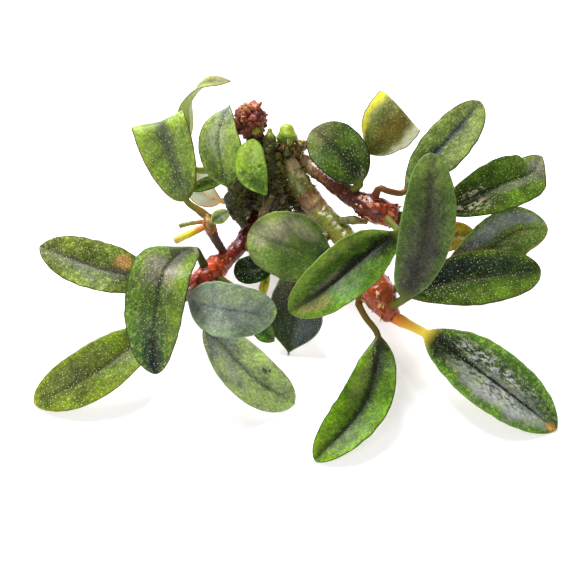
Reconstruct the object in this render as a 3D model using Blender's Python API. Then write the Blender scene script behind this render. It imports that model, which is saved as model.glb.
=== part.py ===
"""A clump of bucephalandra, a small aquarium plant, lying as picked on a flat surface.

Lengths below are millimetres. +X is to the right, +Y to the back and +Z up. The plant rests on z = 0 with
its crown's foot and its lowest leaf tips, and the origin is under the middle of its box. Every leaf, stem,
stub and bud is one closed solid.
"""

import math
from typing import NamedTuple

import bmesh
import bpy
from mathutils import Vector, noise

MM = 0.001
CENTRE_SHIFT = Vector((0.47, -1.8, 0.0))  # brings the middle of the plant's box over the origin

# Sizes that every leaf shares
GAP = 0.32  # between a leaf and the stem that it grows from
STALK_RADIUS = 0.5
BLADE_THICKNESS = 0.56
TIP_HALF_WIDTH = 0.16
FLAT_FROM = 0.3  # the share of the blade by which the round stalk has become flat
STALK_WIDTH_TO = 0.25  # the share of the blade over which the stalk's own width runs out
THIN_FROM = 0.9  # the share of the blade from which it thins toward its tip
TIP_THICKNESS = 0.5  # what is left of the thickness at the tip
BASE_CURVE = 1.9  # how full the outline is toward the base, 1 being straight
TIP_CURVE = 2.3  # the same toward the tip
WAVES = 1.7  # waves along each margin
FOOT_TILT = 0.35  # room for a stalk's slanting foot, as a share of the stalk's radius

# How finely the pieces are divided
SAMPLES_PER_SPAN = 24
LEAF_SIDES = 8
STALK_RINGS = 3
BLADE_RINGS = 12
RING_CROWDING = 1.1  # above 1 sets more rings near the blade's base
STEM_SIDES = 9
STEM_RING_SPACING = 1.6
CROWN_SIDES = 14
CROWN_RINGS = 9

# The skin and the rounded ends of the stems
STEM_LUMP_SIZE = 1.3
CROWN_LUMP_SIZE = 2.2
DOME_REACH = 0.35  # how far an end stands out, as a share of its radius
DOME_WIDTH = 0.62  # the radius there, as a share of the stem's

COLOURS = {  # each colour as six hex digits, with its roughness
    "leaf_green": ("5a7a3a", 0.35),
    "leaf_bright": ("8cc832", 0.35),
    "leaf_dark": ("2c3f22", 0.25),
    "leaf_pale": ("b7cc5a", 0.4),
    "leaf_grey": ("7e9a86", 0.45),
    "leaf_withered": ("c9986a", 0.7),
    "leaf_ochre": ("8a6a10", 0.5),
    "stem_brown": ("4a1c10", 0.35),
    "stem_tan": ("8a8a4a", 0.4),
    "stem_red": ("a83020", 0.35),
    "stalk_yellow": ("d8c828", 0.35),
    "crown_moss": ("2a2a14", 0.8),
    "crumb_burgundy": ("6e2430", 0.85),
    "bud_green": ("7aa020", 0.4),
    "root_tan": ("a98a6a", 0.8),
}


class Stem(NamedTuple):
    """A stem, stub, bud or root: a rounded tube through its points, with its radius at each of them."""

    name: str
    path: tuple
    radii: tuple
    colour: str
    roughness: float = 0.0  # how lumpy its skin is, as a share of the radius


class Leaf(NamedTuple):
    """A leaf: a stalk from its stem to the first point, then a blade through the others to its tip."""

    name: str
    stem: str
    stem_share: float  # how far along the stem it grows
    path: tuple
    faces: tuple  # where its upper side looks at the middle of the blade
    width: float
    widest: float = 0.5  # how far along the blade it is widest
    base_taper: float = 0.8  # 0.5 gives a round base and 1 a pointed one
    tip_taper: float = 0.56  # the same for the tip
    folds: tuple = (12, 12)  # how far its left and right halves rise from flat, in degrees
    sides: tuple = (1.0, 1.0)  # how wide each of those halves is, as a share of its full width
    wave: float = 0.15  # how far its margins wave
    stalk: float = STALK_RADIUS  # its stalk's radius
    bends: tuple = ()  # points that its stalk passes through
    colour: str = "leaf_green"


STEMS = (
    Stem(
        "rhizome_upper_right",
        (
            (-0.7, 23.7, 13.4), (2.1, 21.7, 13.8), (5.4, 17.9, 14.2), (8.8, 13.9, 14.6),
            (12.3, 11.3, 14.6), (15.2, 10.2, 14.2),
        ),
        (1.1, 1.35, 1.4, 1.5, 2.1, 1.8),
        "stem_brown",
        roughness=0.1,
    ),
    Stem(
        "rhizome_lower_right",
        (
            (-0.4, 20.0, 14.6), (0.8, 18.0, 13.0), (3.6, 14.5, 10.8), (6.9, 10.2, 10.4),
            (10.1, 4.5, 10.0), (12.8, -1.6, 9.4), (14.4, -5.4, 9.0),
        ),
        (1.3, 1.8, 1.9, 1.9, 1.9, 2.6, 1.5),
        "stem_tan",
        roughness=0.08,
    ),
    Stem(
        "rhizome_left",
        (
            (-7.4, 13.2, 8.0), (-8.4, 10.2, 8.0), (-10.2, 7.6, 8.0), (-12.6, 5.0, 8.0),
            (-15.2, 1.6, 8.2), (-16.4, -0.3, 8.3),
        ),
        (1.3, 1.3, 1.3, 1.9, 1.7, 0.9),
        "stem_red",
        roughness=0.1,
    ),
    Stem(
        "shoot_left",
        ((-11.9, 7.6, 10.2), (-12.7, 8.2, 11.6), (-13.5, 9.6, 12.9), (-13.9, 10.9, 13.6)),
        (0.7, 0.75, 1.1, 0.7),
        "stem_red",
        roughness=0.08,
    ),
    Stem(
        "cut_stub_yellow",
        ((-15.0, 9.0, 12.6), (-16.8, 8.5, 11.9), (-18.9, 8.0, 11.0)),
        (0.55, 0.6, 0.62),
        "stalk_yellow",
    ),
    Stem(
        "cut_stub_olive",
        ((-14.9, 10.2, 12.9), (-16.5, 10.1, 12.7), (-18.2, 9.8, 12.4)),
        (0.34, 0.36, 0.38),
        "leaf_ochre",
    ),
    Stem(
        "root_tan",
        ((-4.4, 14.4, 12.4), (-5.2, 13.6, 11.0), (-5.6, 12.6, 9.4)),
        (0.5, 0.6, 0.45),
        "root_tan",
        roughness=0.2,
    ),
    Stem(
        "rhizome_bridge",
        ((7.8, 10.7, 12.8), (8.9, 10.7, 12.8), (10.2, 10.7, 12.6)),
        (0.6, 0.75, 0.5),
        "stem_tan",
    ),
    Stem(
        "root_tip",
        ((-7.6, 12.0, 5.6), (-9.0, 11.6, 5.8), (-10.2, 11.9, 6.0)),
        (0.4, 0.7, 0.35),
        "leaf_pale",
    ),
    Stem(
        "stump_left",
        ((-9.2, 15.7, 14.8), (-10.0, 14.6, 13.2), (-9.3, 13.3, 11.8), (-8.6, 12.4, 10.9)),
        (0.8, 1.2, 1.2, 0.8),
        "crown_moss",
        roughness=0.2,
    ),
    Stem(
        "stump_right",
        ((0.2, 22.2, 9.2), (0.6, 20.5, 8.2), (1.0, 19.0, 7.2), (1.8, 17.8, 6.4)),
        (0.9, 1.3, 1.4, 0.9),
        "crown_moss",
        roughness=0.2,
    ),
    Stem(
        "old_leaf_base",
        ((-0.1, 22.2, 15.9), (0.7, 23.1, 16.4), (1.3, 23.6, 17.0)),
        (0.7, 0.9, 0.6),
        "root_tan",
        roughness=0.2,
    ),
    Stem(
        "bud_narrow",
        ((-4.2, 21.5, 18.0), (-4.1, 22.6, 18.9), (-4.1, 23.5, 19.8)),
        (0.6, 0.95, 0.4),
        "bud_green",
    ),
    Stem(
        "bud_round",
        ((-1.4, 22.4, 17.3), (-1.4, 23.4, 18.1), (-1.4, 24.4, 18.9)),
        (1.0, 1.75, 1.3),
        "bud_green",
    ),
    Stem(
        "moss_crumb",
        ((-6.3, 23.7, 18.7), (-6.9, 24.6, 19.6), (-7.4, 25.5, 20.7), (-7.9, 26.5, 21.7)),
        (1.1, 1.9, 2.1, 1.3),
        "crumb_burgundy",
        roughness=0.3,
    ),
)

LEAVES = (
    Leaf(
        "leaf_back_left_folded",
        "shoot_left",
        0.97,
        ((-17.1, 12.9, 15.0), (-19.2, 17.7, 18.8), (-21.1, 22.3, 22.3), (-21.2, 25.6, 17.0)),
        (-0.1, -0.6, 0.8),
        8.8,
        widest=0.62,
        base_taper=0.45,
        folds=(8, 8),
        sides=(1.06, 0.95),
    ),
    Leaf(
        "leaf_back_left_crescent",
        "crown",
        0.75,
        (
            (-17.2, 21.4, 13.6), (-17.2, 27.4, 17.2), (-17.1, 28.0, 20.9), (-14.4, 28.3, 25.0),
            (-10.2, 27.8, 26.3),
        ),
        (-0.8, 0.5, 0.3),
        4.2,
        base_taper=1.4,
        colour="leaf_pale",
    ),
    Leaf(
        "leaf_back_left_tall",
        "crown",
        0.7,
        ((-10.5, 16.7, 14.2), (-11.7, 18.1, 18.6), (-12.0, 20.7, 22.0), (-10.3, 24.3, 24.5)),
        (-0.3, -0.6, 0.75),
        7.6,
        widest=0.42,
        tip_taper=1.0,
        sides=(0.86, 1.12),
    ),
    Leaf(
        "leaf_back_bright",
        "crown",
        0.8,
        ((-5.0, 13.7, 16.0), (-7.1, 15.5, 20.0), (-6.6, 17.4, 24.0)),
        (0.1, -0.7, 0.7),
        5.0,
        folds=(4, 4),
        colour="leaf_bright",
    ),
    Leaf(
        "leaf_back_oval",
        "rhizome_upper_right",
        0.62,
        ((10.0, 14.2, 17.5), (7.0, 18.2, 19.6), (2.7, 22.5, 21.0)),
        (0.1, -0.5, 0.85),
        8.8,
        base_taper=0.6,
        colour="leaf_dark",
    ),
    Leaf(
        "leaf_back_fan",
        "rhizome_upper_right",
        0.45,
        ((11.2, 22.1, 16.0), (14.2, 22.6, 20.0), (16.7, 25.3, 22.0), (16.0, 27.6, 17.5)),
        (-0.1, -0.6, 0.8),
        10.0,
        widest=0.5,
        folds=(12, -16),
        sides=(1.0, 0.85),
    ),
    Leaf(
        "leaf_right_upper",
        "rhizome_upper_right",
        0.8,
        ((16.8, 12.8, 17.0), (20.5, 16.3, 20.0), (24.8, 20.9, 22.0), (29.0, 25.5, 24.0)),
        (0.0, -0.5, 0.85),
        7.2,
        sides=(0.92, 1.12),
        bends=((12.9, 12.5, 18.2), (14.4, 12.0, 18.0)),
    ),
    Leaf(
        "leaf_right_upright",
        "rhizome_lower_right",
        0.97,
        ((16.1, -5.1, 13.0), (18.5, -1.9, 19.0), (19.7, 2.2, 24.5), (20.0, 8.7, 30.0)),
        (0.1, -0.8, 0.6),
        8.4,
        base_taper=0.5,
        folds=(8, 8),
        colour="leaf_dark",
    ),
    Leaf(
        "leaf_right_curled",
        "rhizome_upper_right",
        1.0,
        (
            (22.5, 11.7, 13.8), (27.3, 13.8, 14.5), (32.9, 16.6, 15.0), (37.4, 19.3, 14.6),
            (38.8, 19.9, 17.4),
        ),
        (0.0, -0.4, 0.9),
        9.4,
        widest=0.55,
        sides=(0.86, 1.0),
    ),
    Leaf(
        "leaf_right_old",
        "rhizome_upper_right",
        1.0,
        ((20.3, 8.7, 8.0), (24.4, 10.8, 8.5), (28.6, 10.5, 9.0)),
        (0.0, -0.3, 0.95),
        5.0,
        colour="leaf_ochre",
    ),
    Leaf(
        "leaf_right_channelled",
        "rhizome_lower_right",
        0.85,
        ((22.2, 1.6, 9.3), (28.4, 5.8, 9.7), (34.7, 10.3, 10.6), (39.4, 9.9, 11.8)),
        (0.0, -0.4, 0.9),
        8.8,
        widest=0.6,
        folds=(26, -18),
    ),
    Leaf(
        "leaf_right_low",
        "rhizome_lower_right",
        0.95,
        ((17.2, -3.4, 11.0), (22.0, -1.5, 11.3), (29.8, 0.6, 11.0), (38.0, 3.5, 9.0)),
        (0.0, -0.4, 0.9),
        8.8,
        folds=(16, 10),
    ),
    Leaf(
        "leaf_front_right_wet",
        "rhizome_lower_right",
        1.0,
        ((19.5, -7.2, 7.0), (23.8, -10.1, 6.0), (30.5, -14.9, 4.0), (39.2, -20.5, 0.2)),
        (0.1, -0.4, 0.9),
        10.2,
        base_taper=0.65,
        tip_taper=0.65,
        stalk=0.7,
        colour="leaf_dark",
    ),
    Leaf(
        "leaf_front_middle",
        "rhizome_lower_right",
        0.82,
        ((12.5, -6.8, 6.0), (12.3, -11.8, 5.0), (9.9, -18.6, 3.0), (2.8, -26.2, 0.2)),
        (0.0, -0.3, 0.95),
        8.2,
        folds=(22, 22),
        bends=((9.5, -1.5, 7.6), (10.6, -3.8, 6.8)),
        colour="leaf_bright",
    ),
    Leaf(
        "leaf_centre_long",
        "rhizome_upper_right",
        0.93,
        ((15.3, 5.0, 16.4), (11.1, 0.3, 17.0), (5.0, -6.2, 17.0), (-1.0, -8.8, 14.0)),
        (0.0, -0.5, 0.85),
        9.2,
        folds=(22, 22),
        colour="leaf_bright",
    ),
    Leaf(
        "leaf_centre_broad",
        "rhizome_lower_right",
        0.67,
        ((6.1, 1.9, 13.2), (2.0, 1.8, 15.0), (-2.9, 2.3, 17.0), (-7.3, 3.8, 17.5)),
        (0.0, -0.5, 0.85),
        10.8,
        base_taper=0.95,
    ),
    Leaf(
        "leaf_left_arched",
        "rhizome_left",
        0.7,
        (
            (-15.4, 4.8, 12.5), (-17.7, 0.1, 16.5), (-19.8, -5.0, 18.5), (-20.8, -8.7, 16.0),
            (-21.4, -11.0, 10.0), (-21.2, -13.9, 5.5),
        ),
        (-0.1, -0.8, 0.5),
        9.6,
        base_taper=0.95,
        sides=(0.93, 1.0),
    ),
    Leaf(
        "leaf_left_far",
        "rhizome_left",
        0.83,
        ((-21.1, 1.9, 8.5), (-27.2, 2.5, 9.5), (-32.8, 4.5, 9.5), (-40.3, 9.5, 8.0)),
        (0.0, -0.4, 0.9),
        8.4,
        widest=0.44,
        tip_taper=0.66,
        sides=(0.92, 1.0),
    ),
    Leaf(
        "leaf_left_low",
        "rhizome_left",
        0.97,
        ((-21.2, -5.2, 6.5), (-26.7, -9.9, 5.0), (-32.7, -13.4, 3.0), (-40.0, -15.3, 0.2)),
        (0.0, -0.3, 0.95),
        8.8,
        colour="leaf_pale",
    ),
    Leaf(
        "leaf_front_grey",
        "rhizome_left",
        0.9,
        ((-16.2, -4.2, 12.0), (-13.7, -7.4, 14.0), (-9.1, -10.2, 16.0), (-2.9, -9.6, 15.0)),
        (0.0, -0.7, 0.7),
        8.4,
        colour="leaf_grey",
    ),
    Leaf(
        "leaf_front_low",
        "rhizome_left",
        0.95,
        ((-13.9, -6.9, 8.5), (-10.8, -10.1, 7.0), (-5.9, -14.1, 4.0), (-0.2, -15.4, 0.2)),
        (0.1, -0.4, 0.9),
        8.4,
        sides=(0.92, 1.0),
    ),
    Leaf(
        "leaf_under_dark",
        "rhizome_lower_right",
        0.4,
        ((0.3, 4.9, 9.5), (0.0, 0.1, 6.0), (-0.5, -3.4, 3.0), (-1.2, -6.1, 0.1)),
        (0.0, -0.5, 0.85),
        9.0,
        widest=0.6,
        tip_taper=1.7,
        colour="leaf_dark",
    ),
    Leaf(
        "leaf_under_sliver",
        "rhizome_left",
        0.75,
        ((-7.1, -4.7, 8.0), (-5.2, -5.8, 6.0), (-3.4, -6.4, 4.0)),
        (0.0, -0.5, 0.85),
        3.2,
        tip_taper=0.8,
    ),
    Leaf(
        "leaf_under_small",
        "rhizome_left",
        0.2,
        ((-3.7, 4.5, 10.0), (-6.8, 2.9, 10.0), (-9.6, 3.7, 9.0)),
        (0.0, -0.5, 0.85),
        4.6,
        colour="leaf_dark",
    ),
    Leaf(
        "leaf_small_round",
        "shoot_left",
        0.7,
        ((-13.0, 8.2, 14.9), (-12.0, 8.7, 15.6), (-10.4, 9.5, 16.0)),
        (0.0, -0.6, 0.8),
        2.4,
        stalk=0.3,
    ),
    Leaf(
        "leaf_withered",
        "crown",
        0.55,
        ((-11.7, 17.1, 10.2), (-14.8, 18.3, 10.8), (-16.0, 23.9, 11.2)),
        (0.0, -0.6, 0.8),
        5.0,
        colour="leaf_withered",
    ),
    Leaf(
        "leaf_back_shaded",
        "crown",
        0.65,
        ((-11.1, 19.7, 12.6), (-13.8, 18.4, 13.0), (-16.6, 17.1, 12.8)),
        (0.0, -0.6, 0.8),
        2.2,
        colour="leaf_dark",
    ),
    Leaf(
        "leaf_ochre_sliver",
        "rhizome_left",
        0.7,
        ((-5.6, -0.3, 6.5), (-5.0, 1.1, 8.0), (-4.3, 2.9, 9.0)),
        (0.0, -0.6, 0.8),
        1.5,
        colour="leaf_ochre",
    ),
)

# The crown is an upright stump with a flat foot: heights above the surface, each with its radius
CROWN_LEVELS = (
    (0.0, 2.9), (0.9, 3.3), (3.5, 3.6), (7.0, 3.7), (10.5, 3.8), (13.5, 3.7), (16.0, 3.1), (17.4, 1.9),
)
CROWN_FOOT = Vector((-5.4, 17.6, 0.0))
CROWN_TOP = Vector((-5.0, 22.2, 17.4))
CROWN_ROUGHNESS = 0.16


def linear(hex_colour):
    """A colour written as six hex digits, as linear red, green, blue and full alpha."""
    channels = [int(hex_colour[i : i + 2], 16) / 255 for i in (0, 2, 4)]
    return [c / 12.92 if c <= 0.04045 else ((c + 0.055) / 1.055) ** 2.4 for c in channels] + [1.0]


def clear_scene():
    for thing in list(bpy.data.objects):
        bpy.data.objects.remove(thing)


def make_material(name, colour):
    hex_colour, roughness = COLOURS[colour]
    material = bpy.data.materials.new(name)
    material.use_nodes = True
    shader = material.node_tree.nodes["Principled BSDF"]
    shader.inputs["Base Color"].default_value = linear(hex_colour)
    shader.inputs["Roughness"].default_value = roughness
    shader.inputs["Metallic"].default_value = 0.0
    material.diffuse_color = linear(hex_colour)
    return material


def curve_points(points):
    """Closely spaced points along a smooth curve through the given ones."""
    ends = [2 * points[0] - points[1], *points, 2 * points[-1] - points[-2]]
    curve = []
    for before, start, end, after in zip(ends, ends[1:], ends[2:], ends[3:]):
        span = (end - start).length
        leave = (end - before) / ((start - before).length + span) * span
        arrive = (after - start) / ((after - end).length + span) * span
        for step in range(SAMPLES_PER_SPAN):
            t = step / SAMPLES_PER_SPAN
            curve.append(
                (2 * t**3 - 3 * t**2 + 1) * start
                + (t**3 - 2 * t**2 + t) * leave
                + (3 * t**2 - 2 * t**3) * end
                + (t**3 - t**2) * arrive
            )
    return curve + [points[-1].copy()]


class Route:
    """A smooth curve that can be read at any distance along it."""

    def __init__(self, points):
        self.points = curve_points([Vector(p) for p in points])
        self.reached = [0.0]
        for a, b in zip(self.points, self.points[1:]):
            self.reached.append(self.reached[-1] + (b - a).length)
        self.length = self.reached[-1]

    def distance_to_point(self, number):
        return self.reached[number * SAMPLES_PER_SPAN]

    def at(self, distance):
        distance = min(max(distance, 0.0), self.length)
        for i in range(1, len(self.points)):
            if self.reached[i] >= distance:
                share = (distance - self.reached[i - 1]) / (self.reached[i] - self.reached[i - 1])
                return self.points[i - 1].lerp(self.points[i], share)
        return self.points[-1].copy()

    def heading(self, distance):
        step = self.length * 0.01
        return (self.at(distance + step) - self.at(distance - step)).normalized()


def loft(name, rings, colour):
    """One closed solid through rings of points, capped at both ends."""
    mesh = bmesh.new()
    loops = [[mesh.verts.new(point * MM) for point in ring] for ring in rings]
    sides = len(rings[0])
    for lower, upper in zip(loops, loops[1:]):
        for i in range(sides):
            j = (i + 1) % sides
            mesh.faces.new((lower[i], lower[j], upper[j], upper[i]))
    mesh.faces.new(loops[0][::-1])
    mesh.faces.new(loops[-1])
    bmesh.ops.recalc_face_normals(mesh, faces=mesh.faces)
    data = bpy.data.meshes.new(name)
    mesh.to_mesh(data)
    mesh.free()
    data.shade_smooth()
    data.materials.append(make_material(name, colour))
    thing = bpy.data.objects.new(name, data)
    thing.location = CENTRE_SHIFT * MM
    bpy.context.scene.collection.objects.link(thing)


def ease(t):
    """A share from 0 to 1, made to start and end slowly."""
    return t * t * (3 - 2 * t)


def lumpy(radius, roughness, spot, size):
    """A radius, made uneven by up to its roughness in a way that depends on where the spot is."""
    return radius * (1 + roughness * noise.noise(spot / size))


def stalk_foot(centre, radius, roughness, target, stalk):
    """Where a stalk of the given radius leaves a stem's skin toward its target."""
    outward = (target - centre).normalized()
    return centre + outward * (radius * (1 + roughness) + GAP + stalk * FOOT_TILT)


class StemShape:
    """A stem's centre line with its radius, to build it and to set leaves on it."""

    def __init__(self, stem):
        self.stem = stem
        self.route = Route(stem.path)
        reached = [0.0]
        for a, b in zip(stem.path, stem.path[1:]):
            reached.append(reached[-1] + (Vector(b) - Vector(a)).length)
        self.knots = [distance / reached[-1] for distance in reached]

    def radius(self, share):
        radii = self.stem.radii
        for i in range(1, len(radii)):
            if share <= self.knots[i]:
                t = ease((share - self.knots[i - 1]) / (self.knots[i] - self.knots[i - 1]))
                return radii[i - 1] * (1 - t) + radii[i] * t
        return radii[-1]

    def foot(self, share, target, stalk):
        centre = self.route.at(share * self.route.length)
        return stalk_foot(centre, self.radius(share), self.stem.roughness, target, stalk)

    def build(self):
        steps = max(4, round(self.route.length / STEM_RING_SPACING))
        body = [(i / steps, 0.0, 1.0) for i in range(steps + 1)]
        rings = []
        side = self.route.heading(0.0).orthogonal()
        for share, beyond, width in [(0.0, -DOME_REACH, DOME_WIDTH), *body, (1.0, DOME_REACH, DOME_WIDTH)]:
            heading = self.route.heading(share * self.route.length)
            radius = self.radius(share)
            centre = self.route.at(share * self.route.length) + heading * beyond * radius
            side = (side - heading * side.dot(heading)).normalized()
            up = heading.cross(side)
            ring = []
            for i in range(STEM_SIDES):
                angle = math.tau * i / STEM_SIDES
                out = side * math.cos(angle) + up * math.sin(angle)
                reach = lumpy(radius, self.stem.roughness, centre + out * radius, STEM_LUMP_SIZE)
                ring.append(centre + out * reach * width)
            rings.append(ring)
        loft(self.stem.name, rings, self.stem.colour)


class CrownShape:
    """The crown, to build it and to set leaves on it."""

    def centre(self, height):
        return CROWN_FOOT.lerp(CROWN_TOP, height / CROWN_TOP.z)

    def radius(self, height):
        for (low, low_radius), (high, high_radius) in zip(CROWN_LEVELS, CROWN_LEVELS[1:]):
            if height <= high:
                return low_radius + (high_radius - low_radius) * (height - low) / (high - low)
        return CROWN_LEVELS[-1][1]

    def foot(self, share, target, stalk):
        height = share * CROWN_TOP.z
        return stalk_foot(self.centre(height), self.radius(height), CROWN_ROUGHNESS, target, stalk)

    def build(self):
        rings = []
        for i in range(CROWN_RINGS + 1):
            height = CROWN_TOP.z * i / CROWN_RINGS
            centre = self.centre(height)
            radius = self.radius(height)
            ring = []
            for k in range(CROWN_SIDES):
                angle = math.tau * k / CROWN_SIDES
                out = Vector((math.cos(angle), math.sin(angle), 0.0))
                reach = lumpy(radius, CROWN_ROUGHNESS, centre + out * radius, CROWN_LUMP_SIZE)
                ring.append(centre + out * reach)
            rings.append(ring)
        loft("crown", rings, "crown_moss")


def half_width_share(leaf, along):
    """Half width of a blade as a share of its widest, from nothing at the base to nothing at the tip."""
    if along < leaf.widest:
        reach = (leaf.widest - along) / leaf.widest
        return (1 - reach**BASE_CURVE) ** leaf.base_taper
    reach = (along - leaf.widest) / (1 - leaf.widest)
    return max(1 - reach**TIP_CURVE, 0.0) ** leaf.tip_taper


def blade_ring(leaf, centre, heading, across, along, seed):
    """Points around the leaf at one place on its blade, with along from 0 at the base to 1 at the tip."""
    up = across.cross(heading)
    half_width = max(
        leaf.width / 2 * half_width_share(leaf, along),
        leaf.stalk * (1 - along / STALK_WIDTH_TO),
        TIP_HALF_WIDTH,
    )
    flat = ease(min(along / FLAT_FROM, 1.0))
    half_thickness = leaf.stalk * (1 - flat) + BLADE_THICKNESS / 2 * flat
    if along > THIN_FROM:
        half_thickness *= 1 - (1 - TIP_THICKNESS) * (along - THIN_FROM) / (1 - THIN_FROM)
    ring = []
    for i in range(LEAF_SIDES):
        angle = math.tau * i / LEAF_SIDES
        reach = math.cos(angle)
        fold = math.radians(leaf.folds[1] if reach > 0 else leaf.folds[0]) * flat
        half = half_width * (1 + ((leaf.sides[1] if reach > 0 else leaf.sides[0]) - 1) * flat)
        wave = leaf.wave * math.sin(math.tau * WAVES * along + seed + reach) * reach**2 * flat
        rise = abs(reach) * half * math.sin(fold) + half_thickness * math.sin(angle) + wave
        ring.append(centre + across * reach * half * math.cos(fold) + up * rise)
    return ring


def stalk_ring(leaf, centre, heading, across):
    up = across.cross(heading)
    angles = [math.tau * i / LEAF_SIDES for i in range(LEAF_SIDES)]
    return [centre + (across * math.cos(a) + up * math.sin(a)) * leaf.stalk for a in angles]


def build_leaf(leaf, stems, seed):
    points = [Vector(p) for p in (*leaf.bends, *leaf.path)]
    foot = stems[leaf.stem].foot(leaf.stem_share, points[0], leaf.stalk)
    route = Route([foot, *points])
    stalk_length = route.distance_to_point(1 + len(leaf.bends))
    blade_length = route.length - stalk_length
    middle_across = route.heading(stalk_length + blade_length / 2).cross(Vector(leaf.faces))
    rings = []
    for i in range(STALK_RINGS + BLADE_RINGS + 1):
        along = math.sin(math.pi / 2 * max(i - STALK_RINGS, 0) / BLADE_RINGS) ** RING_CROWDING
        distance = stalk_length * min(i / STALK_RINGS, 1.0) + blade_length * along
        centre = route.at(distance)
        heading = route.heading(distance)
        across = (middle_across - heading * middle_across.dot(heading)).normalized()
        if i < STALK_RINGS:
            rings.append(stalk_ring(leaf, centre, heading, across))
        else:
            rings.append(blade_ring(leaf, centre, heading, across, along, seed))
    loft(leaf.name, rings, leaf.colour)


def main():
    clear_scene()
    shapes = {stem.name: StemShape(stem) for stem in STEMS}
    shapes["crown"] = CrownShape()
    for shape in shapes.values():
        shape.build()
    for number, leaf in enumerate(LEAVES):
        build_leaf(leaf, shapes, number)


main()
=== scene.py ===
"""The looks of a clump of bucephalandra lying on a white surface.

Lengths are millimetres unless a name says otherwise. Shares run from 0 to 1. The leaves and stems follow
the same curves as the solids that they stand for, in finer detail.
"""

import math
import random
from typing import NamedTuple

import bpy
import numpy as np
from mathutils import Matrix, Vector, noise


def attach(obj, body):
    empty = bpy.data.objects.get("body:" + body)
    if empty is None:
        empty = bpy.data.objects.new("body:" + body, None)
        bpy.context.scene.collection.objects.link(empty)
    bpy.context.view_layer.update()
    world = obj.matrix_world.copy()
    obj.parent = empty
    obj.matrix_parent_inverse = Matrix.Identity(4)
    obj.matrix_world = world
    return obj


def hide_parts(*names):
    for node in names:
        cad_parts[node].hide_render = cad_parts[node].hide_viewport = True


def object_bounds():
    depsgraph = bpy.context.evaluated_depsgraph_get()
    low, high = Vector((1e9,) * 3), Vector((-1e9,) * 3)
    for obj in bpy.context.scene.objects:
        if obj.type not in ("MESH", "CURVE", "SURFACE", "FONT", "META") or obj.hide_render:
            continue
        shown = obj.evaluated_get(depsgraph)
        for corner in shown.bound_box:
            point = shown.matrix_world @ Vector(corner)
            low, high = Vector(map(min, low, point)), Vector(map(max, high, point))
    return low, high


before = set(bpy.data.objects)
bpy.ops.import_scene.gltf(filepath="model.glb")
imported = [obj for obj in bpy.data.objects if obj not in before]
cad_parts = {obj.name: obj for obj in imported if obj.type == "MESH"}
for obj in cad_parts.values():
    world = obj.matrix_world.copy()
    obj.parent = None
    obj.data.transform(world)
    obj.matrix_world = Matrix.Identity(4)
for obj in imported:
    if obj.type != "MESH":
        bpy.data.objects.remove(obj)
cad_low, cad_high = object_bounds()

MM = 0.001
CENTRE_SHIFT = Vector((0.47, -1.8, 0.0))  # from where the tables stand to the middle of the part's box
BOX_MARGIN = 0.005  # how far the looks stay inside the solids' box

# The forms, as in the solids
GAP = 0.32  # between a stem's skin and a stalk's foot
STALK_RADIUS = 0.5
BLADE_THICKNESS = 0.56
TIP_HALF_WIDTH = 0.16
FLAT_FROM = 0.3  # the share of a blade by which the round stalk has gone over into it
STALK_WIDTH_TO = 0.25
THIN_FROM = 0.9
TIP_THICKNESS = 0.5
BASE_CURVE = 1.9
TIP_CURVE = 2.3
WAVES = 1.7
FOOT_TILT = 0.35
SAMPLES_PER_SPAN = 24
STEM_LUMP_SIZE = 1.3
CROWN_LUMP_SIZE = 2.2

# How finely they are divided here
STALK_RINGS = 14
BLADE_RINGS = 74
BLADE_COLUMNS = 30
STEM_SIDES = 40
STEM_RING_SPACING = 0.22
CROWN_RINGS = 70
CROWN_SIDES = 72

# The camera
TARGET = Vector((-1.7, 1.5, 8.0))
ELEVATION = 50.0  # degrees
DISTANCE = 300.0
MM_PER_PIXEL = 0.155
PICTURE_PIXELS = 570
SENSOR = 36.0
CLIP_METRES = (0.01, 20.0)

# The light
SOFTBOXES = (  # name, place and size in metres, and power in watts
    ("softbox_back", (-0.14, 0.3, 0.36), 0.2, 4.2),
    ("softbox_front", (-0.2, -0.38, 0.3), 0.3, 1.0),
)
LIGHT_AIM = Vector((0.0, 0.0, 0.005))  # metres
WORLD_STRENGTH = 0.33
FLOOR_HALF_SIZE = 3.0  # metres
FLOOR_COLOUR = (0.92, 0.88, 0.92, 1.0)
FLOOR_GLOW = (1.0, 0.95, 1.0, 1.0)
FLOOR_GLOW_STRENGTH = 0.45  # keeps the shadows as pale as the photo's


class Stem(NamedTuple):
    """A stem, stub, bud or root: a rounded tube through its points, with its radius at each of them."""

    name: str
    path: tuple
    radii: tuple
    slot: str
    roughness: float = 0.0


class Leaf(NamedTuple):
    """A leaf: a stalk from its stem to the first point, then a blade through the others to its tip."""

    name: str
    stem: str
    stem_share: float  # where on its stem it grows
    path: tuple
    faces: tuple  # the way that its upper side faces, halfway along
    width: float
    widest: float = 0.5
    base_taper: float = 0.8
    tip_taper: float = 0.56
    folds: tuple = (12, 12)  # degrees that its left and right halves are raised by
    sides: tuple = (1.0, 1.0)  # how full its left and right halves are
    wave: float = 0.15
    stalk: float = STALK_RADIUS
    bends: tuple = ()  # points on the stalk
    colour: str = "leaf_green"


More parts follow.
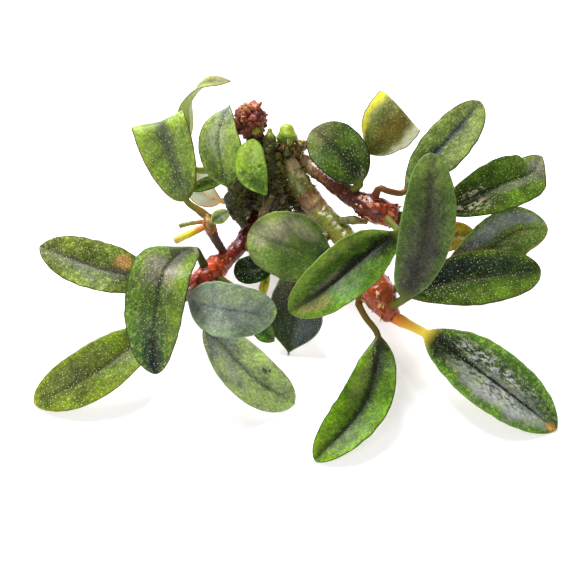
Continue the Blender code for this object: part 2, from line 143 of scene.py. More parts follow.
STEMS = (
    Stem(
        "rhizome_upper_right",
        (
            (-0.7, 23.7, 13.4), (2.1, 21.7, 13.8), (5.4, 17.9, 14.2), (8.8, 13.9, 14.6), (12.3, 11.3, 14.6),
            (15.2, 10.2, 14.2),
        ),
        (1.1, 1.35, 1.4, 1.5, 2.1, 1.8), "stem_brown", roughness=0.1,
    ),
    Stem(
        "rhizome_lower_right",
        (
            (-0.4, 20.0, 14.6), (0.8, 18.0, 13.0), (3.6, 14.5, 10.8), (6.9, 10.2, 10.4), (10.1, 4.5, 10.0),
            (12.8, -1.6, 9.4), (14.4, -5.4, 9.0),
        ),
        (1.3, 1.8, 1.9, 1.9, 1.9, 2.6, 1.5), "stem_tan", roughness=0.08,
    ),
    Stem(
        "rhizome_left",
        (
            (-7.4, 13.2, 8.0), (-8.4, 10.2, 8.0), (-10.2, 7.6, 8.0), (-12.6, 5.0, 8.0), (-15.2, 1.6, 8.2),
            (-16.4, -0.3, 8.3),
        ),
        (1.3, 1.3, 1.3, 1.9, 1.7, 0.9), "stem_red", roughness=0.1,
    ),
    Stem(
        "shoot_left", ((-11.9, 7.6, 10.2), (-12.7, 8.2, 11.6), (-13.5, 9.6, 12.9), (-13.9, 10.9, 13.6)),
        (0.7, 0.75, 1.1, 0.7), "stem_red", roughness=0.08,
    ),
    Stem(
        "cut_stub_yellow", ((-15.0, 9.0, 12.6), (-16.8, 8.5, 11.9), (-18.9, 8.0, 11.0)), (0.55, 0.6, 0.62),
        "stalk_yellow",
    ),
    Stem(
        "cut_stub_olive", ((-14.9, 10.2, 12.9), (-16.5, 10.1, 12.7), (-18.2, 9.8, 12.4)),
        (0.34, 0.36, 0.38), "leaf_ochre",
    ),
    Stem(
        "root_tan", ((-4.4, 14.4, 12.4), (-5.2, 13.6, 11.0), (-5.6, 12.6, 9.4)), (0.5, 0.6, 0.45),
        "root_tan", roughness=0.2,
    ),
    Stem(
        "rhizome_bridge", ((7.8, 10.7, 12.8), (8.9, 10.7, 12.8), (10.2, 10.7, 12.6)), (0.6, 0.75, 0.5),
        "stem_tan",
    ),
    Stem(
        "root_tip", ((-7.6, 12.0, 5.6), (-9.0, 11.6, 5.8), (-10.2, 11.9, 6.0)), (0.4, 0.7, 0.35),
        "leaf_pale",
    ),
    Stem(
        "stump_left", ((-9.2, 15.7, 14.8), (-10.0, 14.6, 13.2), (-9.3, 13.3, 11.8), (-8.6, 12.4, 10.9)),
        (0.8, 1.2, 1.2, 0.8), "crown_moss", roughness=0.2,
    ),
    Stem(
        "stump_right", ((0.2, 22.2, 9.2), (0.6, 20.5, 8.2), (1.0, 19.0, 7.2), (1.8, 17.8, 6.4)),
        (0.9, 1.3, 1.4, 0.9), "crown_moss", roughness=0.2,
    ),
    Stem(
        "old_leaf_base", ((-0.1, 22.2, 15.9), (0.7, 23.1, 16.4), (1.3, 23.6, 17.0)), (0.7, 0.9, 0.6),
        "root_tan", roughness=0.2,
    ),
    Stem(
        "bud_narrow", ((-4.2, 21.5, 18.0), (-4.1, 22.6, 18.9), (-4.1, 23.5, 19.8)), (0.6, 0.95, 0.4),
        "bud_green",
    ),
    Stem(
        "bud_round", ((-1.4, 22.4, 17.3), (-1.4, 23.4, 18.1), (-1.4, 24.4, 18.9)), (1.0, 1.75, 1.3),
        "bud_green",
    ),
    Stem(
        "moss_crumb", ((-6.3, 23.7, 18.7), (-6.9, 24.6, 19.6), (-7.4, 25.5, 20.7), (-7.9, 26.5, 21.7)),
        (1.1, 1.9, 2.1, 1.3), "crumb_burgundy", roughness=0.3,
    ),
)

LEAVES = (
    Leaf(
        "leaf_back_left_folded", "shoot_left", 0.97,
        ((-17.1, 12.9, 15.0), (-19.2, 17.7, 18.8), (-21.1, 22.3, 22.3), (-21.2, 25.6, 17.0)),
        (-0.1, -0.6, 0.8), 8.8, widest=0.62, base_taper=0.45, folds=(8, 8), sides=(1.06, 0.95),
    ),
    Leaf(
        "leaf_back_left_crescent", "crown", 0.75,
        (
            (-17.2, 21.4, 13.6), (-17.2, 27.4, 17.2), (-17.1, 28.0, 20.9), (-14.4, 28.3, 25.0),
            (-10.2, 27.8, 26.3),
        ),
        (-0.8, 0.5, 0.3), 4.2, base_taper=1.4, colour="leaf_pale",
    ),
    Leaf(
        "leaf_back_left_tall", "crown", 0.7,
        ((-10.5, 16.7, 14.2), (-11.7, 18.1, 18.6), (-12.0, 20.7, 22.0), (-10.3, 24.3, 24.5)),
        (-0.3, -0.6, 0.75), 7.6, widest=0.42, tip_taper=1.0, sides=(0.86, 1.12),
    ),
    Leaf(
        "leaf_back_bright", "crown", 0.8, ((-5.0, 13.7, 16.0), (-7.1, 15.5, 20.0), (-6.6, 17.4, 24.0)),
        (0.1, -0.7, 0.7), 5.0, folds=(4, 4), colour="leaf_bright",
    ),
    Leaf(
        "leaf_back_oval", "rhizome_upper_right", 0.62,
        ((10.0, 14.2, 17.5), (7.0, 18.2, 19.6), (2.7, 22.5, 21.0)), (0.1, -0.5, 0.85), 8.8, base_taper=0.6,
        colour="leaf_dark",
    ),
    Leaf(
        "leaf_back_fan", "rhizome_upper_right", 0.45,
        ((11.2, 22.1, 16.0), (14.2, 22.6, 20.0), (16.7, 25.3, 22.0), (16.0, 27.6, 17.5)), (-0.1, -0.6, 0.8),
        10.0, folds=(12, -16), sides=(1.0, 0.85),
    ),
    Leaf(
        "leaf_right_upper", "rhizome_upper_right", 0.8,
        ((16.8, 12.8, 17.0), (20.5, 16.3, 20.0), (24.8, 20.9, 22.0), (29.0, 25.5, 24.0)), (0.0, -0.5, 0.85),
        7.2, sides=(0.92, 1.12), bends=((12.9, 12.5, 18.2), (14.4, 12.0, 18.0)),
    ),
    Leaf(
        "leaf_right_upright", "rhizome_lower_right", 0.97,
        ((16.1, -5.1, 13.0), (18.5, -1.9, 19.0), (19.7, 2.2, 24.5), (20.0, 8.7, 30.0)), (0.1, -0.8, 0.6),
        8.4, base_taper=0.5, folds=(8, 8), colour="leaf_dark",
    ),
    Leaf(
        "leaf_right_curled", "rhizome_upper_right", 1.0,
        (
            (22.5, 11.7, 13.8), (27.3, 13.8, 14.5), (32.9, 16.6, 15.0), (37.4, 19.3, 14.6),
            (38.8, 19.9, 17.4),
        ),
        (0.0, -0.4, 0.9), 9.4, widest=0.55, sides=(0.86, 1.0),
    ),
    Leaf(
        "leaf_right_old", "rhizome_upper_right", 1.0,
        ((20.3, 8.7, 8.0), (24.4, 10.8, 8.5), (28.6, 10.5, 9.0)), (0.0, -0.3, 0.95), 5.0,
        colour="leaf_ochre",
    ),
    Leaf(
        "leaf_right_channelled", "rhizome_lower_right", 0.85,
        ((22.2, 1.6, 9.3), (28.4, 5.8, 9.7), (34.7, 10.3, 10.6), (39.4, 9.9, 11.8)), (0.0, -0.4, 0.9), 8.8,
        widest=0.6, folds=(26, -18),
    ),
    Leaf(
        "leaf_right_low", "rhizome_lower_right", 0.95,
        ((17.2, -3.4, 11.0), (22.0, -1.5, 11.3), (29.8, 0.6, 11.0), (38.0, 3.5, 9.0)), (0.0, -0.4, 0.9),
        8.8, folds=(16, 10),
    ),
    Leaf(
        "leaf_front_right_wet", "rhizome_lower_right", 1.0,
        ((19.5, -7.2, 7.0), (23.8, -10.1, 6.0), (30.5, -14.9, 4.0), (39.2, -20.5, 0.2)), (0.1, -0.4, 0.9),
        10.2, base_taper=0.65, tip_taper=0.65, stalk=0.7, colour="leaf_dark",
    ),
    Leaf(
        "leaf_front_middle", "rhizome_lower_right", 0.82,
        ((12.5, -6.8, 6.0), (12.3, -11.8, 5.0), (9.9, -18.6, 3.0), (2.8, -26.2, 0.2)), (0.0, -0.3, 0.95),
        8.2, folds=(22, 22), bends=((9.5, -1.5, 7.6), (10.6, -3.8, 6.8)), colour="leaf_bright",
    ),
    Leaf(
        "leaf_centre_long", "rhizome_upper_right", 0.93,
        ((15.3, 5.0, 16.4), (11.1, 0.3, 17.0), (5.0, -6.2, 17.0), (-1.0, -8.8, 14.0)), (0.0, -0.5, 0.85),
        9.2, folds=(22, 22), colour="leaf_bright",
    ),
    Leaf(
        "leaf_centre_broad", "rhizome_lower_right", 0.67,
        ((6.1, 1.9, 13.2), (2.0, 1.8, 15.0), (-2.9, 2.3, 17.0), (-7.3, 3.8, 17.5)), (0.0, -0.5, 0.85), 10.8,
        base_taper=0.95,
    ),
    Leaf(
        "leaf_left_arched", "rhizome_left", 0.7,
        (
            (-15.4, 4.8, 12.5), (-17.7, 0.1, 16.5), (-19.8, -5.0, 18.5), (-20.8, -8.7, 16.0),
            (-21.4, -11.0, 10.0), (-21.2, -13.9, 5.5),
        ),
        (-0.1, -0.8, 0.5), 9.6, base_taper=0.95, sides=(0.93, 1.0),
    ),
    Leaf(
        "leaf_left_far", "rhizome_left", 0.83,
        ((-21.1, 1.9, 8.5), (-27.2, 2.5, 9.5), (-32.8, 4.5, 9.5), (-40.3, 9.5, 8.0)), (0.0, -0.4, 0.9), 8.4,
        widest=0.44, tip_taper=0.66, sides=(0.92, 1.0),
    ),
    Leaf(
        "leaf_left_low", "rhizome_left", 0.97,
        ((-21.2, -5.2, 6.5), (-26.7, -9.9, 5.0), (-32.7, -13.4, 3.0), (-40.0, -15.3, 0.2)),
        (0.0, -0.3, 0.95), 8.8, colour="leaf_pale",
    ),
    Leaf(
        "leaf_front_grey", "rhizome_left", 0.9,
        ((-16.2, -4.2, 12.0), (-13.7, -7.4, 14.0), (-9.1, -10.2, 16.0), (-2.9, -9.6, 15.0)),
        (0.0, -0.7, 0.7), 8.4, colour="leaf_grey",
    ),
    Leaf(
        "leaf_front_low", "rhizome_left", 0.95,
        ((-13.9, -6.9, 8.5), (-10.8, -10.1, 7.0), (-5.9, -14.1, 4.0), (-0.2, -15.4, 0.2)), (0.1, -0.4, 0.9),
        8.4, sides=(0.92, 1.0),
    ),
    Leaf(
        "leaf_under_dark", "rhizome_lower_right", 0.4,
        ((0.3, 4.9, 9.5), (0.0, 0.1, 6.0), (-0.5, -3.4, 3.0), (-1.2, -6.1, 0.1)), (0.0, -0.5, 0.85), 9.0,
        widest=0.6, tip_taper=1.7, colour="leaf_dark",
    ),
    Leaf(
        "leaf_under_sliver", "rhizome_left", 0.75,
        ((-7.1, -4.7, 8.0), (-5.2, -5.8, 6.0), (-3.4, -6.4, 4.0)), (0.0, -0.5, 0.85), 3.2, tip_taper=0.8,
    ),
    Leaf(
        "leaf_under_small", "rhizome_left", 0.2, ((-3.7, 4.5, 10.0), (-6.8, 2.9, 10.0), (-9.6, 3.7, 9.0)),
        (0.0, -0.5, 0.85), 4.6, colour="leaf_dark",
    ),
    Leaf(
        "leaf_small_round", "shoot_left", 0.7, ((-13.0, 8.2, 14.9), (-12.0, 8.7, 15.6), (-10.4, 9.5, 16.0)),
        (0.0, -0.6, 0.8), 2.4, stalk=0.3,
    ),
    Leaf(
        "leaf_withered", "crown", 0.55, ((-11.7, 17.1, 10.2), (-14.8, 18.3, 10.8), (-16.0, 23.9, 11.2)),
        (0.0, -0.6, 0.8), 5.0, colour="leaf_withered",
    ),
    Leaf(
        "leaf_back_shaded", "crown", 0.65, ((-11.1, 19.7, 12.6), (-13.8, 18.4, 13.0), (-16.6, 17.1, 12.8)),
        (0.0, -0.6, 0.8), 2.2, colour="leaf_dark",
    ),
    Leaf(
        "leaf_ochre_sliver", "rhizome_left", 0.7, ((-5.6, -0.3, 6.5), (-5.0, 1.1, 8.0), (-4.3, 2.9, 9.0)),
        (0.0, -0.6, 0.8), 1.5, colour="leaf_ochre",
    ),
)

CROWN_LEVELS = (  # heights with the radius at each
    (0.0, 2.9), (0.9, 3.3), (3.5, 3.6), (7.0, 3.7), (10.5, 3.8), (13.5, 3.7), (16.0, 3.1), (17.4, 1.9),
)
CROWN_FOOT = Vector((-5.4, 17.6, 0.0))
CROWN_TOP = Vector((-5.0, 22.2, 17.4))
CROWN_ROUGHNESS = 0.16


class Patch(NamedTuple):
    """A soft spot of another colour on a blade, in shares of the blade's length and of its half width. Some
    are the blade's own colour, others painted sheen, highlights and reflections.
    """

    along: float
    reach: float
    length: float
    breadth: float
    colour: str
    strength: float = 1.0
    # Broken patches are painted wet reflections and highlights, and dark flecks that break one of them up.
    broken: bool = False  # whether it falls apart into flecks, as a reflection on wet skin does


class Look(NamedTuple):
    """What a leaf's skin looks like."""

    colours: str  # from the blade's base to its tip
    margin: str  # of the outer part of the blade
    margin_share: float = 0.5
    midrib: str = "3c4a30"
    midrib_width: float = 0.9
    midrib_strength: float = 0.6
    edge: str = "4a4a28"  # of the thin line along the edge
    edge_strength: float = 0.9
    dot_spacing: float = 0.48
    dot_strength: float = 0.75
    stalk: str = "6a5a20 5a6a24"  # at its foot and at the blade
    patches: tuple = ()  # each with the values of a Patch
    roughness: float = 0.36
    back: str = "7f9a50"
    line: str = "1c2414"  # of the thin line in the middle of the midrib
    grain: float = 0.5  # how strong the finest grain is
    relief: float = 0.6
    shine: float = 0.17
    mottle: str = "b4c070"  # of the paler flecks between the veins
    mottle_strength: float = 0.35
    edge_light: float = 0.35  # how much brighter it gets toward its edge


LOOKS = {
    "leaf_back_left_folded": Look(
        "3f5619 69842c 7c943a 859a4a", "89a137", edge_light=0.3, midrib="5a6246", midrib_width=1.5,
        midrib_strength=0.7, edge="6d4b2a", dot_strength=0.9, stalk="7a561c 5a651c",
        # The grey-green patch halfway along is a painted sheen.
        patches=((0.52, 0.0, 0.25, 0.3, "6b735d", 0.6),),
    ),
    "leaf_back_left_crescent": Look(
        "64832b 729536 839f3f 707b47", "b2c662", edge_light=0.2, midrib="516c29", midrib_strength=0.8,
        edge="857640", dot_strength=0.15, stalk="85853b 95a949", roughness=0.45, back="a3b95f",
        patches=((0.9, 0.0, 0.22, 1.2, "8e8152", 0.85),),
    ),
    "leaf_back_left_tall": Look(
        "566f27 7a923b 889b53 8c9472", "86a137", edge_light=0.15, midrib="445429", midrib_width=0.5,
        edge="3e251a", dot_strength=0.85,
        patches=(
            # The pale grey patch a little past halfway is a painted sheen.
            (0.6, -0.1, 0.3, 0.5, "b0b49c", 0.6), (0.9, 0.0, 0.14, 0.6, "7c8685", 0.6),
            (0.3, -0.5, 0.3, 0.4, "4f6b22", 0.6),
        ),
    ),
    "leaf_back_bright": Look(
        "77a034 95bc41 a3c948 b3d95f", "b8dd5d", edge_light=0.1, midrib_strength=0.15, edge="6b9934",
        dot_strength=0.3, stalk="597621 6b992a", roughness=0.42, back="a3cc58", mottle="d4f07d",
        mottle_strength=0.5,
        patches=(
            (0.45, -0.55, 0.07, 0.3, "596438", 0.8), (0.5, 0.6, 0.05, 0.18, "48532a", 0.9),
            (0.15, -0.2, 0.25, 0.8, "527a25", 0.75), (0.75, 0.3, 0.25, 0.5, "d3eb85", 0.6),
        ),
    ),
    "leaf_back_oval": Look(
        "202b08 32450d 374c11 5e6534", "41511a", margin_share=0.35, midrib="1c1f0d", midrib_width=1.1,
        edge="1d1c14", dot_spacing=0.5, dot_strength=0.55, mottle="5e662c",
        patches=(
            # The grey-tan patch at the tip is a painted sheen, and the broken pale flecks near the base are
            # painted highlights.
            (0.88, 0.0, 0.2, 0.9, "74764c", 0.7), (0.08, 0.3, 0.07, 0.4, "848575", 0.8, True),
            (0.3, 0.1, 0.2, 0.4, "1e240f", 0.7),
        ),
    ),
    "leaf_back_fan": Look(
        "686e29 828b3b 888d51 baba8c", "adb683", edge_light=0.15, midrib="6e5b29", midrib_width=1.2,
        midrib_strength=0.4, edge="384058", dot_spacing=0.5, dot_strength=0.55, back="adad58",
        mottle="bac283",
        patches=(
            (0.42, 0.1, 0.3, 0.55, "745d21", 0.8), (0.65, 0.95, 0.6, 0.38, "ece7d7", 0.9),
            (0.5, -1.0, 0.75, 0.34, "fff64e", 1.0),
        ),
    ),
    "leaf_right_upper": Look(
        "3e531a 5c712b 677836 7a884b", "7b8a4a", edge_light=0.2, midrib="3e4348", midrib_width=0.8,
        midrib_strength=0.8, edge="3c2926", dot_strength=0.6, stalk="612316 705321",
        patches=(
            (0.6, 0.6, 0.4, 0.4, "8d9960", 0.6), (0.35, 0.0, 0.14, 0.3, "2c3346", 0.8),
            (0.7, 0.0, 0.25, 0.25, "636566", 0.6),
        ),
    ),
    "leaf_right_upright": Look(
        "414235 464d3b 4b5d2f 829447", "4f6f28", edge_light=0.25, margin_share=0.75, midrib="3c3b2d",
        midrib_width=1.4, edge="6b8447", dot_spacing=0.4, dot_strength=0.25, roughness=0.5, mottle="697449",
        # The two grey patches along its middle are a painted sheen.
        patches=((0.3, 0.1, 0.35, 0.6, "4b4943", 0.75), (0.6, 0.1, 0.35, 0.35, "48493b", 0.6)),
    ),
    "leaf_right_curled": Look(
        "202d08 374c0d 4a6816 5b6a39", "516f17", midrib="232b14", midrib_width=0.6, edge="373f1a",
        dot_strength=0.9, roughness=0.25, mottle="768428",
        patches=(
            # The grey patches on the curled end and just before it are a painted sheen; the broken pale ones
            # near the base are painted wet highlights.
            (0.93, 0.1, 0.12, 0.9, "a0978f", 0.75), (0.62, 0.2, 0.3, 0.2, "918d81", 0.5),
            (0.2, 0.4, 0.2, 0.45, "daccbb", 1.0, True), (0.25, -0.15, 0.2, 0.2, "ded0bf", 1.0, True),
        ),
    ),
    "leaf_right_old": Look(
        "9a6010 8f7014 74701c", "9a6a18", midrib_strength=0.2, edge="9a5a18", dot_strength=0.6,
        mottle="b08c20",
    ),
    "leaf_right_channelled": Look(
        "3a4426 4a5c28 507024 5c7a30", "587830", edge_light=0.15, midrib="333d2b", midrib_width=0.5,
        edge="656e2f", dot_strength=0.9, roughness=0.32, mottle="a59f4d",
        patches=(
            # The grey band along the upper half is a painted sheen, and the broken pale patch a painted
            # reflection.
            (0.58, -0.55, 0.5, 0.36, "868a8c", 0.85), (0.6, 0.3, 0.3, 0.3, "a7a98f", 0.7, True),
            (0.75, 0.1, 0.2, 0.3, "6c6c2c", 0.5), (0.1, 0.0, 0.4, 1.2, "1c2620", 0.9),
            (0.9, 0.97, 0.2, 0.1, "b88a50", 0.8), (1.0, -0.5, 0.03, 0.5, "b08c54", 0.7),
        ),
    ),
    "leaf_right_low": Look(
        "1c2910 2d410e 395215 3c5318", "495e15", midrib="4c4a3f", midrib_width=0.4, edge="4b3718",
        dot_strength=0.95, roughness=0.3, mottle="606e22",
        patches=(
            # The dark bluish patches over the upper half are a painted sheen on that side of the fold, and
            # the broken pale streak along the midrib a painted highlight.
            (0.35, -0.5, 0.45, 0.55, "151f22", 0.85), (0.75, -0.4, 0.25, 0.5, "2b3f25", 0.6),
            (0.88, -0.1, 0.06, 0.16, "191f0e", 0.8), (0.7, 0.6, 0.4, 0.4, "58711b", 0.7),
            (0.42, 0.03, 0.22, 0.07, "8e8678", 0.9, True),
        ),
    ),
    "leaf_front_right_wet": Look(
        "27331f 334524 3f5530 48673a", "588328", edge_light=0.2, margin_share=0.8, midrib="1c2115",
        midrib_width=0.45, midrib_strength=0.95, edge="6b8b38", dot_strength=0.5, roughness=0.2,
        stalk="d2712e f1d84d",
        patches=(
            # The grey patches and broken pale flecks are a painted wet reflection, broken up by dark flecks.
            (0.64, 0.3, 0.4, 0.55, "b4b7b2", 0.85), (0.45, -0.35, 0.35, 0.4, "c2c3c2", 0.85, True),
            (0.5, 0.15, 0.4, 0.35, "242d1c", 0.75, True), (0.08, 0.0, 0.16, 0.9, "1e271a", 0.85),
            (0.97, 0.2, 0.05, 0.5, "d9a74a", 0.9),
        ),
    ),
    "leaf_front_middle": Look(
        "282c15 4d740f 5b8015 6e8b23", "6a8c18", edge_light=0.5, midrib="2a361d", midrib_width=1.3,
        midrib_strength=0.85, edge="304c1b", dot_strength=0.15, stalk="6e4117 4d4e17", roughness=0.32,
        mottle="91a639",
        patches=(
            (0.35, 0.45, 0.25, 0.4, "78824a", 0.6), (0.1, 0.0, 0.14, 0.6, "252517", 0.8),
            # The broken pale flecks near the base are painted wet highlights.
            (0.16, 0.3, 0.1, 0.2, "dbc3ab", 0.9, True),
        ),
    ),
    "leaf_centre_long": Look(
        "192806 3a570d 416712 5c7225", "517218", edge_light=0.45, midrib="181d0a", midrib_width=1.0,
        midrib_strength=0.85, edge="7a8242", dot_strength=0.12, mottle="6d8228",
        patches=(
            # The grey patch past halfway is a painted sheen.
            (0.66, 0.12, 0.2, 0.2, "857d66", 0.8), (0.84, -0.35, 0.14, 0.4, "949054", 0.8),
            (0.45, 0.75, 0.5, 0.22, "7a8245", 0.6), (0.15, 0.0, 0.2, 0.5, "111706", 0.85),
            (0.42, 0.08, 0.3, 0.2, "161d0a", 0.8),
        ),
    ),
    "leaf_centre_broad": Look(
        "253b25 4a6128 5d7232 788547", "5c732f", edge_light=0.12, midrib="3f5028", midrib_width=0.8,
        midrib_strength=0.3, edge="5b6b45", edge_strength=0.4, dot_strength=0.1, roughness=0.45,
        mottle="858d5a", mottle_strength=0.5,
        patches=(
            # The pale grey-tan patches toward the tip are a painted sheen.
            (0.75, 0.35, 0.25, 0.5, "a6a27f", 0.85), (0.5, 0.6, 0.25, 0.3, "969473", 0.8),
            (0.85, -0.2, 0.12, 0.3, "989873", 0.7), (0.55, -0.45, 0.3, 0.4, "41621b", 0.5),
            (0.12, 0.0, 0.16, 0.8, "1e362f", 0.7),
        ),
    ),
    "leaf_left_arched": Look(
        "22350b 364d12 56672d 4b6a1d 3c5929 294031", "587321", edge_light=0.4, midrib="2b331f",
        midrib_width=0.6, midrib_strength=0.75, edge="2e3a1d", dot_strength=0.8, stalk="564211 485b16",
        patches=(
            # The grey band across the bend is a painted sheen.
            (0.42, 0.0, 0.13, 0.9, "95897c", 0.75), (0.2, 0.0, 0.14, 0.7, "1b260b", 0.85),
            (0.9, 0.0, 0.14, 0.5, "223231", 0.7), (0.55, -0.7, 0.4, 0.35, "6c8120", 0.6),
        ),
    ),
    "leaf_left_far": Look(
        "3a4810 4a5a18 54611e 5a642e", "5e6b20", midrib="514b3a", midrib_width=0.8, midrib_strength=0.8,
        edge="3d3b1f", dot_strength=0.9, stalk="475314 475314",
        patches=((0.28, 0.45, 0.08, 0.42, "b8874a", 0.85), (0.3, 0.0, 0.2, 0.3, "383927", 0.5)),
    ),
    "leaf_left_low": Look(
        "4f660a 586a0e 5c6b1e 63731e", "687b17", midrib="4f482a", midrib_width=0.8, midrib_strength=0.7,
        edge="757427", dot_strength=1.0, mottle="8b9231",
        patches=(
            (0.6, 0.5, 0.4, 0.45, "58642c", 0.7), (0.98, 0.0, 0.04, 0.7, "9d9a27", 0.8),
            (0.12, 0.1, 0.05, 0.14, "36260f", 0.8),
        ),
    ),
    "leaf_front_grey": Look(
        # Its grey-blue upper side is a painted sheen over its green, which the back keeps.
        "626c5c 7d8876 808d7a 7b8f70", "799469", edge_light=0.08, margin_share=0.55, midrib="65707b",
        midrib_width=0.7, midrib_strength=0.5, edge="7e8f76", dot_spacing=0.4, dot_strength=0.15,
        roughness=0.5, back="567932", stalk="9a3e18 704e1f", mottle="969e8b",
        patches=((0.15, 0.5, 0.2, 0.5, "565c52", 0.7), (0.99, 0.0, 0.025, 0.5, "b3bf52", 0.9)),
    ),
    "leaf_front_low": Look(
        "737672 8a9967 94a964 99af6e", "a1b577", edge_light=0.2, midrib="5c6258", midrib_width=0.7,
        midrib_strength=0.7, edge="92957b", dot_strength=0.3, roughness=0.42, mottle="bec69d",
        patches=(
            (0.12, 0.0, 0.2, 0.9, "73747b", 0.8), (0.62, -0.5, 0.03, 0.1, "2f3827", 0.9),
            (0.66, -0.62, 0.02, 0.08, "2f3827", 0.9), (0.2, -0.75, 0.04, 0.2, "282a23", 0.9),
            (0.35, 0.5, 0.3, 0.4, "999997", 0.5),
        ),
    ),
    "leaf_under_dark": Look(
        "504c44 48443c 3a3e34 323c2a", "464a42", edge_light=0.1, midrib="262826", edge="829580",
        dot_spacing=0.4, dot_strength=0.5, roughness=0.3, mottle="5c5e50",
        patches=((0.75, -0.4, 0.25, 0.5, "3c4450", 0.85), (0.7, 0.5, 0.3, 0.4, "2c4424", 0.6)),
    ),
    "leaf_under_sliver": Look("36561c 447426 56842f", "548428", dot_strength=0.4),
    "leaf_under_small": Look(
        # Its near-black colours are painted shade, for where it lies under the broad leaf in the middle.
        "060b03 071004 0e1d06", "122808", margin_share=0.8, midrib_strength=0.3, edge="294911",
        dot_strength=0.5, roughness=0.25, mottle="16250a",
    ),
    "leaf_small_round": Look(
        "5a743f 798d56 a0a872", "93a256", midrib_strength=0.3, edge="b8bb56", dot_strength=0.2,
        patches=((0.6, 0.0, 0.3, 0.5, "b3b890", 0.7),),
    ),
    "leaf_withered": Look(
        # Partly its own pale peach, and pushed to white as painted light shining through it.
        "ffeabc fffffd ffffff ffffe2", "ffffea", midrib="ffcd95", midrib_strength=0.3, edge="f6b17c",
        dot_strength=0.0, roughness=0.6, back="ffffd6", stalk="c2864f ffbc7c", mottle="ffffff",
    ),
    "leaf_back_shaded": Look("5e7b2f 769834 7d9c34", "8eb93e", dot_strength=0.3),
    "leaf_ochre_sliver": Look(
        "b8b128 e5d23f cdc23f", "fffa5c", midrib_strength=0.2, edge="e7ca4a", dot_strength=0.1,
    ),
}


class Skin(NamedTuple):
    """What a stem's skin looks like, from its first point to its last."""

    colours: str
    streak: str
    streak_strength: float = 0.5
    speck: str = "e8e4c8"
    speck_strength: float = 0.0
    roughness: float = 0.3
    scars: float = 0.5  # how dark the rings along it are
    lobes: int = 0
    rooted: tuple = (0.0, 0.0)  # how far each end goes on into what it grows from
    shine: float = 0.45


SKINS = {
    "rhizome_upper_right": Skin(
        "8a7048 a88a64 6a3420 4a1c10 64200f a03c1a", "24100a", 0.75, "e8c0a8", 0.3, 0.24, rooted=(1.6, 0.0),
    ),
    "rhizome_lower_right": Skin(
        "9c8660 5c6c30 6c4024 a08458 7c862c 80842c 7e7e2c 80742a 84622a 984a20 a3401b 9a3c1a 943d1b",
        "4a3010", 0.5, "d7ddb7", 0.4, 0.26, scars=0.1, rooted=(1.4, 0.0),
    ),
    "rhizome_left": Skin(
        "4a1014 641418 7a2018 c84c1a b83a1a 6a1c1a", "3a0a0a", 0.6, "e8a070", 0.35, 0.25, rooted=(3.4, 0.0),
    ),
    "shoot_left": Skin("4a2824 5a3a34 b86c2c 8a7a28", "34201c", 0.6, "e8c890", 0.3, 0.3, rooted=(2.0, 0.0)),
    "cut_stub_yellow": Skin(
        "c87a20 dcc424 e8d840 e8d448 d0b080", "b08a24", 0.4, "f8f0a0", 0.3, 0.35, scars=0.2,
        rooted=(1.6, 0.0),
    ),
    "cut_stub_olive": Skin(
        "b8602c 8a8428 84842f 7c7830", "5a4a1c", 0.5, "d0c878", 0.2, 0.4, scars=0.2, rooted=(1.4, 0.0),
    ),
    "rhizome_bridge": Skin("7a7a40 8c8c4c 7c6c34", "4a3a1c", 0.5, "e0e0b0", 0.3, 0.35, rooted=(0.9, 0.9)),
    "root_tan": Skin("594e27 968959 756b3e", "3e331a", 0.8, "bfc18f", 0.5, 0.8, rooted=(1.5, 1.0)),
    "root_tip": Skin(
        "8a8a48 d8d88c ece8b0", "a09850", 0.4, "f4f0c8", 0.3, 0.4, scars=0.1, rooted=(1.0, 0.0),
    ),
    "bud_narrow": Skin(
        "393813 687d1e 959f35", "39380f", 0.5, "ccd17a", 0.3, 0.35, scars=0.1, lobes=2, rooted=(1.6, 0.0),
    ),
    "bud_round": Skin(
        "3f4210 708f19 99ab2c", "3d480e", 0.4, "dfdd7f", 0.4, 0.35, scars=0.1, lobes=2, rooted=(1.4, 0.0),
    ),
    "stump_left": Skin("3c3418 303418 3a3c1c 40401c", "141208", 0.7, "8a8a4a", 0.4, 0.6, rooted=(1.0, 1.0)),
    "stump_right": Skin(
        "3c3418 342c14 3a2c18 44401c", "161008", 0.7, "8a7a4a", 0.4, 0.6, rooted=(1.0, 1.0),
    ),
    "old_leaf_base": Skin("6a572c ba915a d6b17c", "57391e", 0.7, "fbe8b1", 0.5, 0.6, rooted=(1.4, 0.0)),
    "moss_crumb": Skin("341814 4a1a1c 5c2024 6a3020", "1c0a0c", 0.7, "b87040", 0.3, 0.8, rooted=(1.4, 0.0)),
    "crown": Skin("1c1a0e 2c2a12 3c3e1a 4a4e22", "140f06", 0.7, "7c8038", 0.5, 0.45, scars=0.2),
}


def linear(hex_colour):
    """A colour written as six hex digits, as linear red, green, blue and full alpha."""
    channels = [int(hex_colour[i : i + 2], 16) / 255 for i in (0, 2, 4)]
    return [c / 12.92 if c <= 0.04045 else ((c + 0.055) / 1.055) ** 2.4 for c in channels] + [1.0]


# Curves and forms


def curve_points(points):
    """Closely spaced points along a smooth curve through the given ones."""
    ends = [2 * points[0] - points[1], *points, 2 * points[-1] - points[-2]]
    curve = []
    for before, start, end, after in zip(ends, ends[1:], ends[2:], ends[3:]):
        span = (end - start).length
        leave = (end - before) / ((start - before).length + span) * span
        arrive = (after - start) / ((after - end).length + span) * span
        for step in range(SAMPLES_PER_SPAN):
            t = step / SAMPLES_PER_SPAN
            curve.append(
                (2 * t**3 - 3 * t**2 + 1) * start
                + (t**3 - 2 * t**2 + t) * leave
                + (3 * t**2 - 2 * t**3) * end
                + (t**3 - t**2) * arrive
            )
    return curve + [points[-1].copy()]


